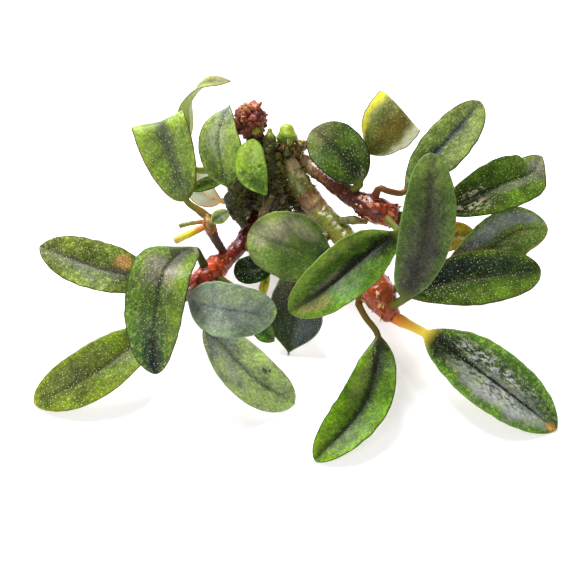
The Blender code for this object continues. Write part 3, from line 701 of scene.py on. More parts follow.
class Route:
    """A smooth curve that can be read at any distance along it, and a little way past its ends."""

    def __init__(self, points):
        self.points = curve_points([Vector(p) for p in points])
        self.reached = [0.0]
        for a, b in zip(self.points, self.points[1:]):
            self.reached.append(self.reached[-1] + (b - a).length)
        self.length = self.reached[-1]

    def distance_to_point(self, number):
        return self.reached[number * SAMPLES_PER_SPAN]

    def at(self, distance):
        if distance < 0:
            return self.points[0] + (self.points[0] - self.points[1]).normalized() * -distance
        if distance > self.length:
            past = distance - self.length
            return self.points[-1] + (self.points[-1] - self.points[-2]).normalized() * past
        for i in range(1, len(self.points)):
            if self.reached[i] >= distance:
                share = (distance - self.reached[i - 1]) / (self.reached[i] - self.reached[i - 1])
                return self.points[i - 1].lerp(self.points[i], share)
        return self.points[-1].copy()

    def heading(self, distance):
        step = self.length * 0.01
        return (self.at(distance + step) - self.at(distance - step)).normalized()


def ease(t):
    """A share from 0 to 1, made to start and end slowly."""
    return t * t * (3 - 2 * t)


def lumpy(radius, roughness, spot, size):
    """A radius, made uneven by up to its roughness in a way that depends on where the spot is."""
    return radius * (1 + roughness * noise.noise(spot / size))


def stalk_foot(centre, radius, roughness, target, stalk):
    """Where a stalk of the given radius leaves a stem's skin toward its target."""
    outward = (target - centre).normalized()
    return centre + outward * (radius * (1 + roughness) + GAP + stalk * FOOT_TILT)


class StemShape:
    """A stem's centre line with its radius."""

    def __init__(self, stem):
        self.stem = stem
        self.route = Route(stem.path)
        reached = [0.0]
        for a, b in zip(stem.path, stem.path[1:]):
            reached.append(reached[-1] + (Vector(b) - Vector(a)).length)
        self.knots = [distance / reached[-1] for distance in reached]

    def radius(self, share):
        radii = self.stem.radii
        for i in range(1, len(radii)):
            if share <= self.knots[i]:
                t = ease((share - self.knots[i - 1]) / (self.knots[i] - self.knots[i - 1]))
                return radii[i - 1] * (1 - t) + radii[i] * t
        return radii[-1]

    def foot(self, share, target, stalk):
        centre = self.route.at(share * self.route.length)
        return stalk_foot(centre, self.radius(share), self.stem.roughness, target, stalk)


class CrownShape:
    """The crown's centre line with its radius."""

    def centre(self, height):
        return CROWN_FOOT.lerp(CROWN_TOP, height / CROWN_TOP.z)

    def radius(self, height):
        for (low, low_radius), (high, high_radius) in zip(CROWN_LEVELS, CROWN_LEVELS[1:]):
            if height <= high:
                return low_radius + (high_radius - low_radius) * (height - low) / (high - low)
        return CROWN_LEVELS[-1][1]

    def foot(self, share, target, stalk):
        height = share * CROWN_TOP.z
        return stalk_foot(self.centre(height), self.radius(height), CROWN_ROUGHNESS, target, stalk)


SHAPES = {stem.name: StemShape(stem) for stem in STEMS}
SHAPES["crown"] = CrownShape()


def half_width_share(leaf, along):
    """Half width of a blade as a share of its widest, from nothing at the base to nothing at the tip."""
    if along < leaf.widest:
        reach = (leaf.widest - along) / leaf.widest
        return (1 - reach**BASE_CURVE) ** leaf.base_taper
    reach = (along - leaf.widest) / (1 - leaf.widest)
    return max(1 - reach**TIP_CURVE, 0.0) ** leaf.tip_taper


# Meshes


def make_piece(name, points, faces, material, attributes, stands_for):
    """A shown piece of the plant from points in millimetres, with values stored at its points."""
    points = np.array(points, float)
    points += np.array(CENTRE_SHIFT)
    points = np.clip(points, np.array(cad_low) / MM + BOX_MARGIN, np.array(cad_high) / MM - BOX_MARGIN)
    data = bpy.data.meshes.new(name)
    data.from_pydata((points * MM).tolist(), [], faces)
    data.validate()
    data.shade_smooth()
    for key, values in attributes.items():
        values = np.array(values, np.float32)
        if values.ndim == 2:
            data.attributes.new(key, "FLOAT_VECTOR", "POINT").data.foreach_set("vector", values.ravel())
        else:
            data.attributes.new(key, "FLOAT", "POINT").data.foreach_set("value", values)
    data.materials.append(material)
    piece = bpy.data.objects.new(name, data)
    bpy.context.scene.collection.objects.link(piece)
    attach(piece, "root")
    if stands_for:
        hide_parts(*stands_for)
    return piece


def tube_faces(rings, sides):
    """Faces between successive rings of points, with a cap at each end."""
    faces = []
    for row in range(rings - 1):
        for i in range(sides):
            j = (i + 1) % sides
            faces.append((row * sides + i, row * sides + j, (row + 1) * sides + j, (row + 1) * sides + i))
    faces.append(tuple(range(sides))[::-1])
    faces.append(tuple(range((rings - 1) * sides, rings * sides)))
    return faces


# Leaves

BLADE_BUNCHING = 1.1  # how much closer the rings stand toward the base
MIDRIB_GROOVE = 0.08  # how deep the channel along the upper side is
MIDRIB_RIDGE = 0.16
MIDRIB_SPREAD = 0.42
RIPPLE = 0.05
RIPPLE_SIZE = 1.4
EDGE_RIPPLE = 0.035
EDGE_RIPPLES_PER_MM = 0.7
FOOT_DEPTH = 1.7  # how far a stalk goes into its stem
FOOT_FLARE = 0.35
FOOT_FLARE_LENGTH = 0.8


def leaf_columns():
    """Places across a blade, with 1 or 0 for its side: over the upper side, then back under the lower."""
    steps = np.linspace(-1.0, 1.0, BLADE_COLUMNS + 1)
    reach = 0.6 * steps + 0.4 * np.sin(steps * math.pi / 2)
    upper = np.array([1.0] * (BLADE_COLUMNS + 1) + [0.0] * (BLADE_COLUMNS - 1))
    return np.concatenate([reach, reach[-2:0:-1]]), upper


def blade_half_width(leaf, along, stalk):
    """Half width of a blade at a share of its length, never under what is left of its stalk or its tip's."""
    blade = leaf.width / 2 * half_width_share(leaf, along)
    return max(blade, stalk * (1 - along / STALK_WIDTH_TO), TIP_HALF_WIDTH)


def blade_half_thickness(along, stalk, flat):
    half_thickness = stalk * (1 - flat) + BLADE_THICKNESS / 2 * flat
    if along > THIN_FROM:
        half_thickness *= 1 - (1 - TIP_THICKNESS) * (along - THIN_FROM) / (1 - THIN_FROM)
    return half_thickness


def build_leaf(leaf, seed):
    points = [Vector(p) for p in (*leaf.bends, *leaf.path)]
    foot = SHAPES[leaf.stem].foot(leaf.stem_share, points[0], leaf.stalk)
    route = Route([foot, *points])
    stalk_length = route.distance_to_point(1 + len(leaf.bends))
    blade_length = route.length - stalk_length
    middle_across = route.heading(stalk_length + blade_length / 2).cross(Vector(leaf.faces))
    reach, upper = leaf_columns()
    is_upper = upper > 0.5
    side = np.sqrt(np.clip(1 - reach**2, 0, 1)) * np.where(is_upper, 1.0, -1.0)
    fold_side = np.where(reach > 0, leaf.folds[1], leaf.folds[0])
    fullness = np.where(reach > 0, leaf.sides[1], leaf.sides[0]) - 1
    made, place, share = [], [], []
    for i in range(STALK_RINGS + BLADE_RINGS + 1):
        along = math.sin(math.pi / 2 * max(i - STALK_RINGS, 0) / BLADE_RINGS) ** BLADE_BUNCHING
        up_stalk = min(i / STALK_RINGS, 1.0)
        distance = (stalk_length + FOOT_DEPTH) * up_stalk - FOOT_DEPTH + blade_length * along
        centre = route.at(distance)
        heading = route.heading(max(distance, 0.0))
        across = (middle_across - heading * middle_across.dot(heading)).normalized()
        up = across.cross(heading)
        flat = ease(min(along / FLAT_FROM, 1.0))
        if i < STALK_RINGS:
            stalk = leaf.stalk * (1 + FOOT_FLARE * math.exp(-max(distance, 0.0) / FOOT_FLARE_LENGTH))
            half_width = stalk
        else:
            stalk = leaf.stalk
            half_width = blade_half_width(leaf, along, stalk)
        edge_noise = noise.noise(Vector((distance * EDGE_RIPPLES_PER_MM, seed * 5.0, 0.0)))
        half = half_width * (1 + fullness * flat) * (1 + EDGE_RIPPLE * edge_noise * flat)
        fold = np.radians(fold_side) * flat
        wave = leaf.wave * np.sin(math.tau * WAVES * along + seed + reach) * reach**2 * flat
        rise = np.abs(reach) * half * np.sin(fold) + blade_half_thickness(along, stalk, flat) * side + wave
        across_mm = reach * half
        rib = np.exp(-((across_mm / MIDRIB_SPREAD) ** 2)) * flat * (1 - along**3)
        rise += np.where(is_upper, -MIDRIB_GROOVE, -MIDRIB_RIDGE) * rib
        ripple = [noise.noise(Vector((distance, a, seed * 3.0)) / RIPPLE_SIZE) for a in across_mm]
        rise += RIPPLE * np.array(ripple) * flat
        sideways = np.outer(across_mm * np.cos(fold), np.array(across))
        made.append(np.array(centre) + sideways + np.outer(rise, np.array(up)))
        along_share = along if i >= STALK_RINGS else up_stalk - 1.0
        place.append(np.stack([np.full_like(reach, distance), across_mm, upper], 1))
        along_values, width_values = np.full_like(reach, along_share), np.full_like(reach, half_width)
        share.append(np.stack([along_values, reach, width_values], 1))
    name = leaf.name + "_skin"
    return make_piece(
        name,
        np.concatenate(made),
        tube_faces(len(made), len(reach)),
        leaf_material(name, LOOKS[leaf.name], seed),
        {"leaf_place": np.concatenate(place), "leaf_share": np.concatenate(share)},
        [leaf.name],
    )


# Materials

FINE_GRAIN = 0.16  # the finest grain that shows
LIGHT_AND_DARK = "000000 bcbcbc ffffff"  # the middle one leaves a colour as it is
VIVID_AND_DARK = "3c4a4c bcbcbc e0ee98"
LEAF_BUMP_METRES = 0.00025
SKIN_BUMP_METRES = 0.0003
BIT_BUMP_METRES = 0.0002
BIT_SHINE = 0.35


class Graph:
    """A material whose colours are worked out from values stored on a mesh.

    Each method adds a node or two and gives back what comes out of them.
    """

    def __init__(self, name):
        self.material = bpy.data.materials.new(name)
        self.material.use_nodes = True
        self.tree = self.material.node_tree
        self.shader = self.tree.nodes["Principled BSDF"]

    def node(self, kind, values, **settings):
        """A new node's outputs, after its inputs, by number or name, are fed or set."""
        made = self.tree.nodes.new(kind)
        for key, value in settings.items():
            setattr(made, key, value)
        for key, value in values.items() if isinstance(values, dict) else enumerate(values):
            self.put(made.inputs[key], value)
        return made.outputs

    def put(self, socket, value):
        if isinstance(value, bpy.types.NodeSocket):
            self.tree.links.new(value, socket)
        elif isinstance(value, str):
            socket.default_value = linear(value)
        else:
            socket.default_value = value

    def attribute(self, name):
        return self.node("ShaderNodeAttribute", (), attribute_name=name)["Vector"]

    def value(self, name):
        return self.node("ShaderNodeAttribute", (), attribute_name=name)["Fac"]

    def split(self, vector):
        return tuple(self.node("ShaderNodeSeparateXYZ", (vector,)))

    def combine(self, x, y, z):
        return self.node("ShaderNodeCombineXYZ", (x, y, z))[0]

    def sum(self, operation, a, b=0.0, c=0.0):
        return self.node("ShaderNodeMath", (a, b, c), operation=operation)[0]

    def add(self, a, b):
        return self.sum("ADD", a, b)

    def times(self, a, b):
        return self.sum("MULTIPLY", a, b)

    def size(self, a):
        return self.sum("ABSOLUTE", a)

    def around(self, value, amount):
        """A value between 0 and 1, made to swing around nothing by the amount."""
        return self.sum("MULTIPLY_ADD", value, amount, -amount / 2)

    def rise(self, value, low, high, to_low=0.0, to_high=1.0):
        """A value between low and high, taken smoothly to between two others."""
        values = (value, low, high, to_low, to_high)
        return self.node("ShaderNodeMapRange", values, interpolation_type="SMOOTHSTEP")[0]

    def noise(self, vector, scale, detail, roughness):
        values = {"Vector": vector, "Scale": scale, "Detail": detail, "Roughness": roughness}
        return self.node("ShaderNodeTexNoise", values)["Fac"]

    def cells(self, vector, scale, seed=None):
        """Distance to the nearest of many scattered points, and two random values for it.

        With a seed the points lie in a plane.
        """
        settings = {}
        if seed is not None:
            settings["voronoi_dimensions"] = "2D"
            shift = (seed * 17.0, seed * 11.0, 0.0)
            vector = self.node("ShaderNodeVectorMath", (vector, shift), operation="ADD")[0]
        values = {"Vector": vector, "Scale": scale, "Randomness": 0.9}
        made = self.node("ShaderNodeTexVoronoi", values, **settings)
        first, second, _ = self.split(made["Color"])
        return made["Distance"], first, second

    def ramp(self, value, colours):
        """Colours, written with spaces between them, that take turns as the value goes from 0 to 1."""
        made = self.node("ShaderNodeValToRGB", (value,))
        colours = colours.split()
        elements = made[0].node.color_ramp.elements
        while len(elements) < len(colours):
            elements.new(0.5)
        for i, colour in enumerate(colours):
            elements[i].position = i / (len(colours) - 1)
            elements[i].color = linear(colour)
        return made[0]

    def mix(self, share, first, second, blend="MIX"):
        """The second colour over the first. The node's colours are its inputs 6 and 7 and its output 2."""
        values = {0: share, 6: first, 7: second}
        return self.node("ShaderNodeMix", values, data_type="RGBA", blend_type=blend)[2]

    def shade(self, share, colour, value, ramp=LIGHT_AND_DARK):
        """A colour made darker where the value is under a half, and lighter where it is over it."""
        return self.mix(share, colour, self.ramp(value, ramp), "OVERLAY")

    def bump(self, height, strength, distance):
        values = {"Strength": strength, "Distance": distance, "Height": height}
        self.put(self.shader.inputs["Normal"], self.node("ShaderNodeBump", values)[0])

    def finish(self, colour, roughness, shine):
        self.put(self.shader.inputs["Base Color"], colour)
        self.put(self.shader.inputs["Roughness"], roughness)
        self.put(self.shader.inputs["Specular IOR Level"], shine)
        return self.material


DOT_COLOUR = "e4ecb4"
DOT_RADII = (0.065, 0.165)
VEIN_SPACING = 1.5
VEIN_STRENGTH = 0.22


def leaf_material(name, look, seed):
    """A leaf's skin, from the ground colour to the edge. Its numbers were tried out."""
    g = Graph(name)
    along, reach, half_width = g.split(g.attribute("leaf_share"))
    distance, across, upper = g.split(g.attribute("leaf_place"))
    spot = g.combine(distance, across, seed * 13.0)
    cloud = g.noise(spot, 0.45, 4.0, 0.62)
    grain = g.noise(spot, 2.6, 3.0, 0.75)
    fine = g.noise(spot, 1 / FINE_GRAIN, 2.0, 0.8)
    flecks = g.noise(g.combine(g.times(distance, 0.45), across, seed * 7.0), 2.2, 2.0, 0.6)
    off_middle = g.size(reach)

    # The colours from base to tip, the outer part of the blade, and paler flecks
    colour = g.ramp(g.add(along, g.around(cloud, 0.4)), look.colours)
    outer = g.rise(g.add(off_middle, g.around(cloud, 0.8)), 0.45, 1.05)
    colour = g.mix(g.times(outer, look.margin_share), colour, look.margin)
    mottle = g.rise(g.noise(spot, 1.3, 4.0, 0.7), 0.48, 0.66, 0.0, look.mottle_strength)
    colour = g.mix(mottle, colour, look.mottle)

    # Patches with ragged outlines: the blade's own spots, and painted sheen and reflections
    ragged = g.add(g.around(cloud, 1.5), g.around(grain, 0.8))
    for patch in (Patch(*values) for values in look.patches):
        lengthwise = g.sum("MULTIPLY_ADD", along, 1 / patch.length, -patch.along / patch.length)
        sideways = g.sum("MULTIPLY_ADD", reach, 1 / patch.breadth, -patch.reach / patch.breadth)
        away = g.sum("SQRT", g.add(g.times(lengthwise, lengthwise), g.times(sideways, sideways)))
        mask = g.rise(g.add(away, ragged), 0.3, 1.2, patch.strength, 0.0)
        if patch.broken:
            mask = g.times(mask, g.rise(flecks, 0.5, 0.58))
        colour = g.mix(mask, colour, patch.colour)

    # The soft midrib, the side veins that leave it at a slant, and the broken line in its middle
    width = g.sum("MULTIPLY_ADD", along, -0.5 * look.midrib_width, look.midrib_width)
    rib = g.rise(g.add(g.sum("DIVIDE", g.size(across), width), g.around(grain, 0.9)), 0.2, 1.2, 1.0, 0.0)
    rib = g.times(rib, g.rise(along, 0.78, 1.0, look.midrib_strength, 0.0))
    colour = g.mix(rib, colour, look.midrib)
    bent = g.sum("MULTIPLY_ADD", g.size(across), -1.5, distance)
    veins = g.sum("SINE", g.add(g.times(bent, math.tau / VEIN_SPACING), g.around(cloud, 6.0)))
    vein = g.times(g.rise(veins, 0.55, 1.0), g.rise(off_middle, 0.9, 1.0, VEIN_STRENGTH, 0.0))
    colour = g.mix(vein, colour, look.midrib)
    line = g.rise(g.add(g.size(across), g.around(grain, 0.35)), 0.02, 0.22, 0.6, 0.0)
    line = g.times(g.times(line, g.rise(flecks, 0.4, 0.6)), g.rise(along, 0.7, 0.95, 1.0, 0.0))
    colour = g.mix(g.times(line, look.midrib_strength), colour, look.line)

    # Large clouds, a lighter edge, and coarse and fine grain
    broad = g.rise(g.noise(spot, 0.35, 3.0, 0.6), 0.25, 0.75)
    colour = g.shade(0.5, colour, broad, VIVID_AND_DARK)
    toward_edge = g.rise(g.add(off_middle, g.around(cloud, 1.0)), -0.1, 1.1)
    colour = g.shade(look.edge_light, colour, toward_edge, VIVID_AND_DARK)
    colour = g.shade(look.grain, g.shade(1.0, colour, grain), fine)

    # Pale dots of uneven sizes and strengths, which start a little past the foot of the blade
    nearest, luck, second_luck = g.cells(g.combine(distance, across, 0.0), 1 / look.dot_spacing, seed)
    radius = g.sum("MULTIPLY_ADD", luck, DOT_RADII[1] - DOT_RADII[0], DOT_RADII[0])
    dot = g.rise(g.sum("DIVIDE", nearest, radius), 0.5, 1.4, 1.0, 0.0)
    uneven = g.times(g.rise(second_luck, 0.1, 0.85, 0.15, 1.0), g.rise(cloud, 0.3, 0.55, 0.35, 1.0))
    dot = g.times(dot, uneven)
    dot = g.times(dot, g.rise(along, 0.0, 0.12))
    colour = g.mix(g.times(dot, look.dot_strength), colour, DOT_COLOUR)

    # The edge, the back and the stalk
    to_edge = g.times(g.sum("SUBTRACT", 1.0, off_middle), half_width)
    edge = g.rise(g.add(to_edge, g.around(grain, 0.15)), 0.1, 0.3, look.edge_strength, 0.0)
    colour = g.mix(edge, colour, look.edge)
    back = g.shade(1.0, g.mix(g.times(cloud, 0.6), look.back, look.margin), grain)
    colour = g.mix(upper, back, colour)
    stalk_colour = g.ramp(g.add(along, g.add(1.0, g.around(grain, 0.3))), look.stalk)
    colour = g.mix(g.rise(along, -0.02, 0.1, 1.0, 0.0), colour, stalk_colour)

    relief = g.add(g.times(cloud, 0.6), g.times(grain, 0.3))
    relief = g.add(relief, g.add(g.times(dot, 0.3), g.times(fine, 0.12)))
    g.bump(relief, look.relief, LEAF_BUMP_METRES)
    rough = g.add(g.add(g.around(cloud, 0.3), look.roughness), g.around(grain, 0.2))
    return g.finish(colour, g.add(rough, g.times(dot, 0.1)), look.shine)


def skin_material(name, skin):
    """Bark-like skin: colours from end to end, streaks along it, rings across it, painted shade in the
    creases, and pale specks.
    """
    g = Graph(name)
    share = g.value("stem_share")
    place = g.attribute("place_mm")
    round_place = g.attribute("stem_skin")
    lengthwise, _, _ = g.split(round_place)
    streaks = g.noise(round_place, 1.6, 4.0, 0.65)
    cloud = g.noise(place, 0.7, 4.0, 0.6)
    grain = g.noise(place, 3.0, 3.0, 0.75)
    fine = g.noise(place, 1 / FINE_GRAIN, 2.0, 0.8)
    colour = g.ramp(g.add(share, g.around(cloud, 0.35)), skin.colours)
    colour = g.mix(g.rise(streaks, 0.48, 0.62, 0.0, skin.streak_strength), colour, skin.streak)
    turns = g.add(g.times(lengthwise, math.tau / SCAR_SPACING * STEM_SKIN_SPAN), g.around(cloud, 9.0))
    colour = g.mix(g.rise(g.sum("SINE", turns), 0.7, 1.0, 0.0, skin.scars), colour, skin.streak)
    # The creases between a bud's lobes are painted darker, as shade.
    colour = g.mix(g.times(g.value("shaded_crease"), 0.8), colour, skin.streak)
    nearest, luck, _ = g.cells(place, 1.8)
    speck = g.times(g.rise(nearest, 0.1, 0.3, 1.0, 0.0), g.rise(luck, 0.3, 0.8))
    colour = g.mix(g.times(speck, skin.speck_strength), colour, skin.speck)
    colour = g.shade(0.4, g.shade(0.7, colour, grain), fine)
    height = g.add(g.times(cloud, 0.5), g.add(g.times(streaks, 0.4), g.times(grain, 0.25)))
    g.bump(height, 0.6, SKIN_BUMP_METRES)
    return g.finish(colour, g.add(g.around(cloud, 0.25), skin.roughness), skin.shine)


def bit_material(name, colours, tips, tip_strength, roughness):
    """Colours picked for each bit by its shade, going over to another colour at its tip."""
    g = Graph(name)
    grain = g.noise(g.attribute("place_mm"), 3.0, 3.0, 0.75)
    colour = g.ramp(g.value("shade"), colours)
    share = g.add(g.value("bit_share"), g.around(grain, 0.5))
    colour = g.mix(g.rise(share, 0.4, 1.0, 0.0, tip_strength), colour, tips)
    colour = g.shade(1.0, colour, grain)
    g.bump(grain, 0.5, BIT_BUMP_METRES)
    return g.finish(colour, g.add(g.around(grain, 0.2), roughness), BIT_SHINE)


# Stems

STEM_SKIN_SPAN = 3.0  # millimetres along a stem for each unit of its stored place
SCAR_SPACING = 1.7
STEM_SWELL = 0.05
SKIN_DEPTH = 0.01
SKIN_RIPPLE = 0.07
SKIN_RIPPLE_SIZE = 0.5
LOBE_DEPTH = 0.14
LOBE_TWIST = 0.9  # turn of the lobes in each millimetre
DOME_STEPS = 6  # rings in the dome at each end
START_BULGE = 0.45  # how far an end bulges, as a share of its radius
END_BULGE = 0.45
CUT_BULGE = 0.12
BUD_BULGE = 0.8
ROOTED_TAPER = 0.12  # how much thinner it gets in each millimetre past its ends
CROWN_SHRINK = 0.97
CROWN_RIPPLES = ((0.14, 0.9), (0.07, 0.3))  # depth and size of the coarse and the fine ones


def end_bulge(name):
    if name.startswith("cut_stub"):
        return CUT_BULGE
    return BUD_BULGE if name.startswith("bud") else END_BULGE


def stem_rings(stem, rooted, length):
    """Distance along the stem, bulge past it and share of the radius for each ring, from end to end."""
    begin, end = -rooted[0], length + rooted[1]
    steps = max(8, round((end - begin) / STEM_RING_SPACING))
    body = [(begin + (end - begin) * i / steps, 0.0, 1.0) for i in range(steps + 1)]
    turns = [math.pi / 2 * k / DOME_STEPS for k in range(1, DOME_STEPS)]
    start = [(begin, -START_BULGE * math.sin(t), math.cos(t)) for t in reversed(turns)]
    stop = [(end, end_bulge(stem.name) * math.sin(t), math.cos(t)) for t in turns]
    return [*start, *body, *stop]


def build_stem(stem):
    shape = SHAPES[stem.name]
    look = SKINS[stem.name]
    length = shape.route.length
    made, skin, share_values, shaded_creases = [], [], [], []
    side = shape.route.heading(0.0).orthogonal()
    for distance, beyond, width in stem_rings(stem, look.rooted, length):
        share = min(max(distance / length, 0.0), 1.0)
        heading = shape.route.heading(min(max(distance, 0.0), length))
        radius = shape.radius(share) * (1 - ROOTED_TAPER * max(-distance, distance - length, 0.0))
        uneven = noise.noise(Vector((distance / 2, 0, 0))) * 5
        radius *= 1 + STEM_SWELL * look.scars * math.sin(math.tau * distance / SCAR_SPACING + uneven)
        centre = shape.route.at(distance) + heading * beyond * radius
        side = (side - heading * side.dot(heading)).normalized()
        up = heading.cross(side)
        for i in range(STEM_SIDES):
            angle = math.tau * i / STEM_SIDES
            out = side * math.cos(angle) + up * math.sin(angle)
            spot = centre + out * radius
            reach = lumpy(radius, stem.roughness, spot, STEM_LUMP_SIZE)
            reach *= 1 + SKIN_RIPPLE * noise.noise(spot / SKIN_RIPPLE_SIZE) - SKIN_DEPTH
            shaded_crease = 0.0
            if look.lobes:
                shaded_crease = (1 - abs(math.sin(look.lobes / 2 * angle + distance * LOBE_TWIST))) ** 3
                reach *= 1 - LOBE_DEPTH * shaded_crease
            made.append(centre + out * reach * width)
            skin.append((distance / STEM_SKIN_SPAN, math.cos(angle), math.sin(angle)))
            share_values.append(share)
            shaded_creases.append(shaded_crease)
    return skin_piece(stem.name, made, STEM_SIDES, skin, share_values, shaded_creases)


def skin_piece(node, made, sides, skin, share_values, shaded_creases):
    """The skin that stands for a stem or for the crown, from its rings of points."""
    name = node + "_skin"
    return make_piece(
        name,
        made,
        tube_faces(len(made) // sides, sides),
        skin_material(name, SKINS[node]),
        {"stem_skin": skin, "stem_share": share_values, "place_mm": made, "shaded_crease": shaded_creases},
        [node],
    )


def build_crown():
    shape = SHAPES["crown"]
    made, skin, share_values = [], [], []
    for i in range(CROWN_RINGS + 1):
        height = CROWN_TOP.z * i / CROWN_RINGS
        centre = shape.centre(height)
        radius = shape.radius(height)
        for k in range(CROWN_SIDES):
            angle = math.tau * k / CROWN_SIDES
            out = Vector((math.cos(angle), math.sin(angle), 0.0))
            spot = centre + out * radius
            reach = lumpy(radius, CROWN_ROUGHNESS, spot, CROWN_LUMP_SIZE)
            coarse, fine = (depth * noise.noise(spot / size) for depth, size in CROWN_RIPPLES)
            reach *= CROWN_SHRINK + coarse + fine
            made.append(centre + out * reach)
            skin.append((height / STEM_SKIN_SPAN, math.cos(angle), math.sin(angle)))
            share_values.append(height / CROWN_TOP.z)
    return skin_piece("crown", made, CROWN_SIDES, skin, share_values, [0.0] * len(made))


# Small growth on the crown and the nodes

FLAKE_STEPS = 5  # squares along each side of a flake
FLAKE_THICKNESS = 0.05


def flake_faces():
    """The faces of two grids of points, one over the other, and of the rim between them."""
    last, wide = FLAKE_STEPS, FLAKE_STEPS + 1
    count = wide * wide
    faces = []
    for i in range(last):
        for k in range(last):
            a = i * wide + k
            faces.append((a, a + 1, a + wide + 1, a + wide))
            faces.append(tuple(count + n for n in (a, a + wide, a + wide + 1, a + 1)))
    rim = [*range(last), *(i * wide + last for i in range(last))]
    rim += [*(last * wide + k for k in range(last, 0, -1)), *(i * wide for i in range(last, 0, -1))]
    faces.extend((a, count + a, count + b, b) for a, b in zip(rim, rim[1:] + rim[:1]))
    return faces


class Bits:
    """Many small forms gathered into one piece, each with its own shade."""

    def __init__(self):
        self.points, self.faces, self.shades, self.shares = [], [], [], []

    def add(self, points, faces, shade, shares):
        start = len(self.points)
        self.points.extend(points)
        self.faces.extend(tuple(start + i for i in face) for face in faces)
        self.shades.extend([shade] * len(points))
        self.shares.extend(shares)

    def strand(self, path, radii, shade, sides=5):
        """A thin tube along a path."""
        side = (path[1] - path[0]).orthogonal().normalized()
        points, shares = [], []
        for i, centre in enumerate(path):
            heading = (path[min(i + 1, len(path) - 1)] - path[max(i - 1, 0)]).normalized()
            side = (side - heading * side.dot(heading)).normalized()
            up = heading.cross(side)
            for k in range(sides):
                angle = math.tau * k / sides
                points.append(centre + (side * math.cos(angle) + up * math.sin(angle)) * radii[i])
                shares.append(i / (len(path) - 1))
        self.add(points, tube_faces(len(path), sides), shade, shares)

    def grain(self, centre, size, shade, seed, squash, axis, rows=5, sides=7, uneven_by=0.6):
        """An uneven round grain."""
        axis = axis.normalized()
        side = axis.orthogonal().normalized()
        up = axis.cross(side)
        points, shares = [], []
        for i in range(rows + 1):
            turn = math.pi * (i + 0.15) / (rows + 0.3)
            for k in range(sides):
                angle = math.tau * k / sides
                out = (side * math.cos(angle) + up * math.sin(angle)) * math.sin(turn)
                out -= axis * math.cos(turn) * squash
                uneven = 1 + uneven_by * noise.noise(out * 1.6 + Vector((seed * 7.1, seed * 3.3, 0)))
                points.append(centre + out * size * uneven)
                shares.append(i / rows)
        self.add(points, tube_faces(rows + 1, sides), shade, shares)

    def flake(self, centre, out, along, length, breadth, lift, shade, seed):
        """A thin papery scale that stands off a stem at one end."""
        across = out.cross(along).normalized()
        top, shares = [], []
        for i in range(FLAKE_STEPS + 1):
            t = i / FLAKE_STEPS
            wide = breadth * (0.45 + 0.75 * math.sin(math.pi * min(t * 0.8 + 0.12, 1.0)))
            wide *= 1 + 0.8 * noise.noise(Vector((t * 4, seed * 1.3, 0.5)))
            for k in range(FLAKE_STEPS + 1):
                s = 2 * k / FLAKE_STEPS - 1
                ragged = 0.45 * noise.noise(Vector((s * 2, t * 3, seed * 5.7)))
                rise = lift * t**1.5 - 0.5 * breadth * s * s + ragged * lift
                spot = centre + along * (t - 0.3) * length * (1 + ragged) + across * s * wide + out * rise
                top.append(spot)
                shares.append(t)
        bottom = [spot - out * FLAKE_THICKNESS for spot in top]
        self.add(top + bottom, flake_faces(), shade, shares + shares)

    def piece(self, name, slot, colours, tips, tip_strength, roughness):
        material = bit_material(name, colours, tips, tip_strength, roughness)
        attributes = {"shade": self.shades, "bit_share": self.shares, "place_mm": self.points}
        make_piece(name, self.points, self.faces, material, attributes, [])


def crown_spot(height, angle, depth):
    """A point a share of the crown's radius from its middle, with its outward direction."""
    shape = SHAPES["crown"]
    out = Vector((math.cos(angle), math.sin(angle), 0.0))
    spot = shape.centre(height) + out * shape.radius(height)
    reach = lumpy(shape.radius(height), CROWN_ROUGHNESS, spot, CROWN_LUMP_SIZE)
    return shape.centre(height) + out * reach * depth, out


def anywhere(draw, upward=0.0):
    """A random direction, with something added to its rise."""
    return Vector((draw.uniform(-1, 1), draw.uniform(-1, 1), draw.uniform(-1, 1) + upward))


def stem_spot(name, share, angle, depth):
    """A point a share of a stem's radius from its middle, with its outward direction and heading."""
    shape = SHAPES[name]
    distance = share * shape.route.length
    heading = shape.route.heading(distance)
    side = heading.orthogonal().normalized()
    out = side * math.cos(angle) + heading.cross(side) * math.sin(angle)
    return shape.route.at(distance) + out * shape.radius(share) * depth, out, heading


# The share of the tufts that have a place once those on this stem have theirs. The rest grow on buds.
TUFTS_UP_TO = {"crown": 0.6, "stump_left": 0.72, "stump_right": 0.88, "rhizome_lower_right": 0.94}


def tuft_place(draw):
    """Where a tuft of moss grows: mostly on the crown, some on its stumps and on the start of the stems."""
    pick = draw.random()
    if pick < TUFTS_UP_TO["crown"]:
        height = CROWN_TOP.z * draw.uniform(0.05, 0.99)
        turn = draw.uniform(0, math.tau)
        return crown_spot(height, turn, 0.9 + 0.12 * max(math.cos(turn), 0.0))
    if pick < TUFTS_UP_TO["stump_left"]:
        return stem_spot("stump_left", draw.random(), draw.uniform(0, math.tau), 0.85)[:2]
    if pick < TUFTS_UP_TO["stump_right"]:
        return stem_spot("stump_right", draw.random(), draw.uniform(0, math.tau), 0.85)[:2]
    if pick < TUFTS_UP_TO["rhizome_lower_right"]:
        return stem_spot("rhizome_lower_right", draw.uniform(0.0, 0.16), draw.uniform(0, math.tau), 0.9)[:2]
    name = draw.choice(("bud_round", "bud_narrow", "old_leaf_base"))
    return stem_spot(name, draw.uniform(0, 0.3), draw.uniform(0, math.tau), 0.85)[:2]


# Fine roots that tie what grows beside the crown to it: the share of the stem that they reach, the crown's
# heights and turns that they leave from, how many they are and how thick
TIES = (
    ("stump_right", 1.0, (4.0, 12.0), (-0.7, 0.5), 44, 0.12),
    ("stump_left", 0.8, (9.0, 15.0), (3.7, 4.6), 50, 0.16),
    ("root_tan", 0.3, (11.0, 15.0), (4.7, 5.2), 16, 0.22),
)
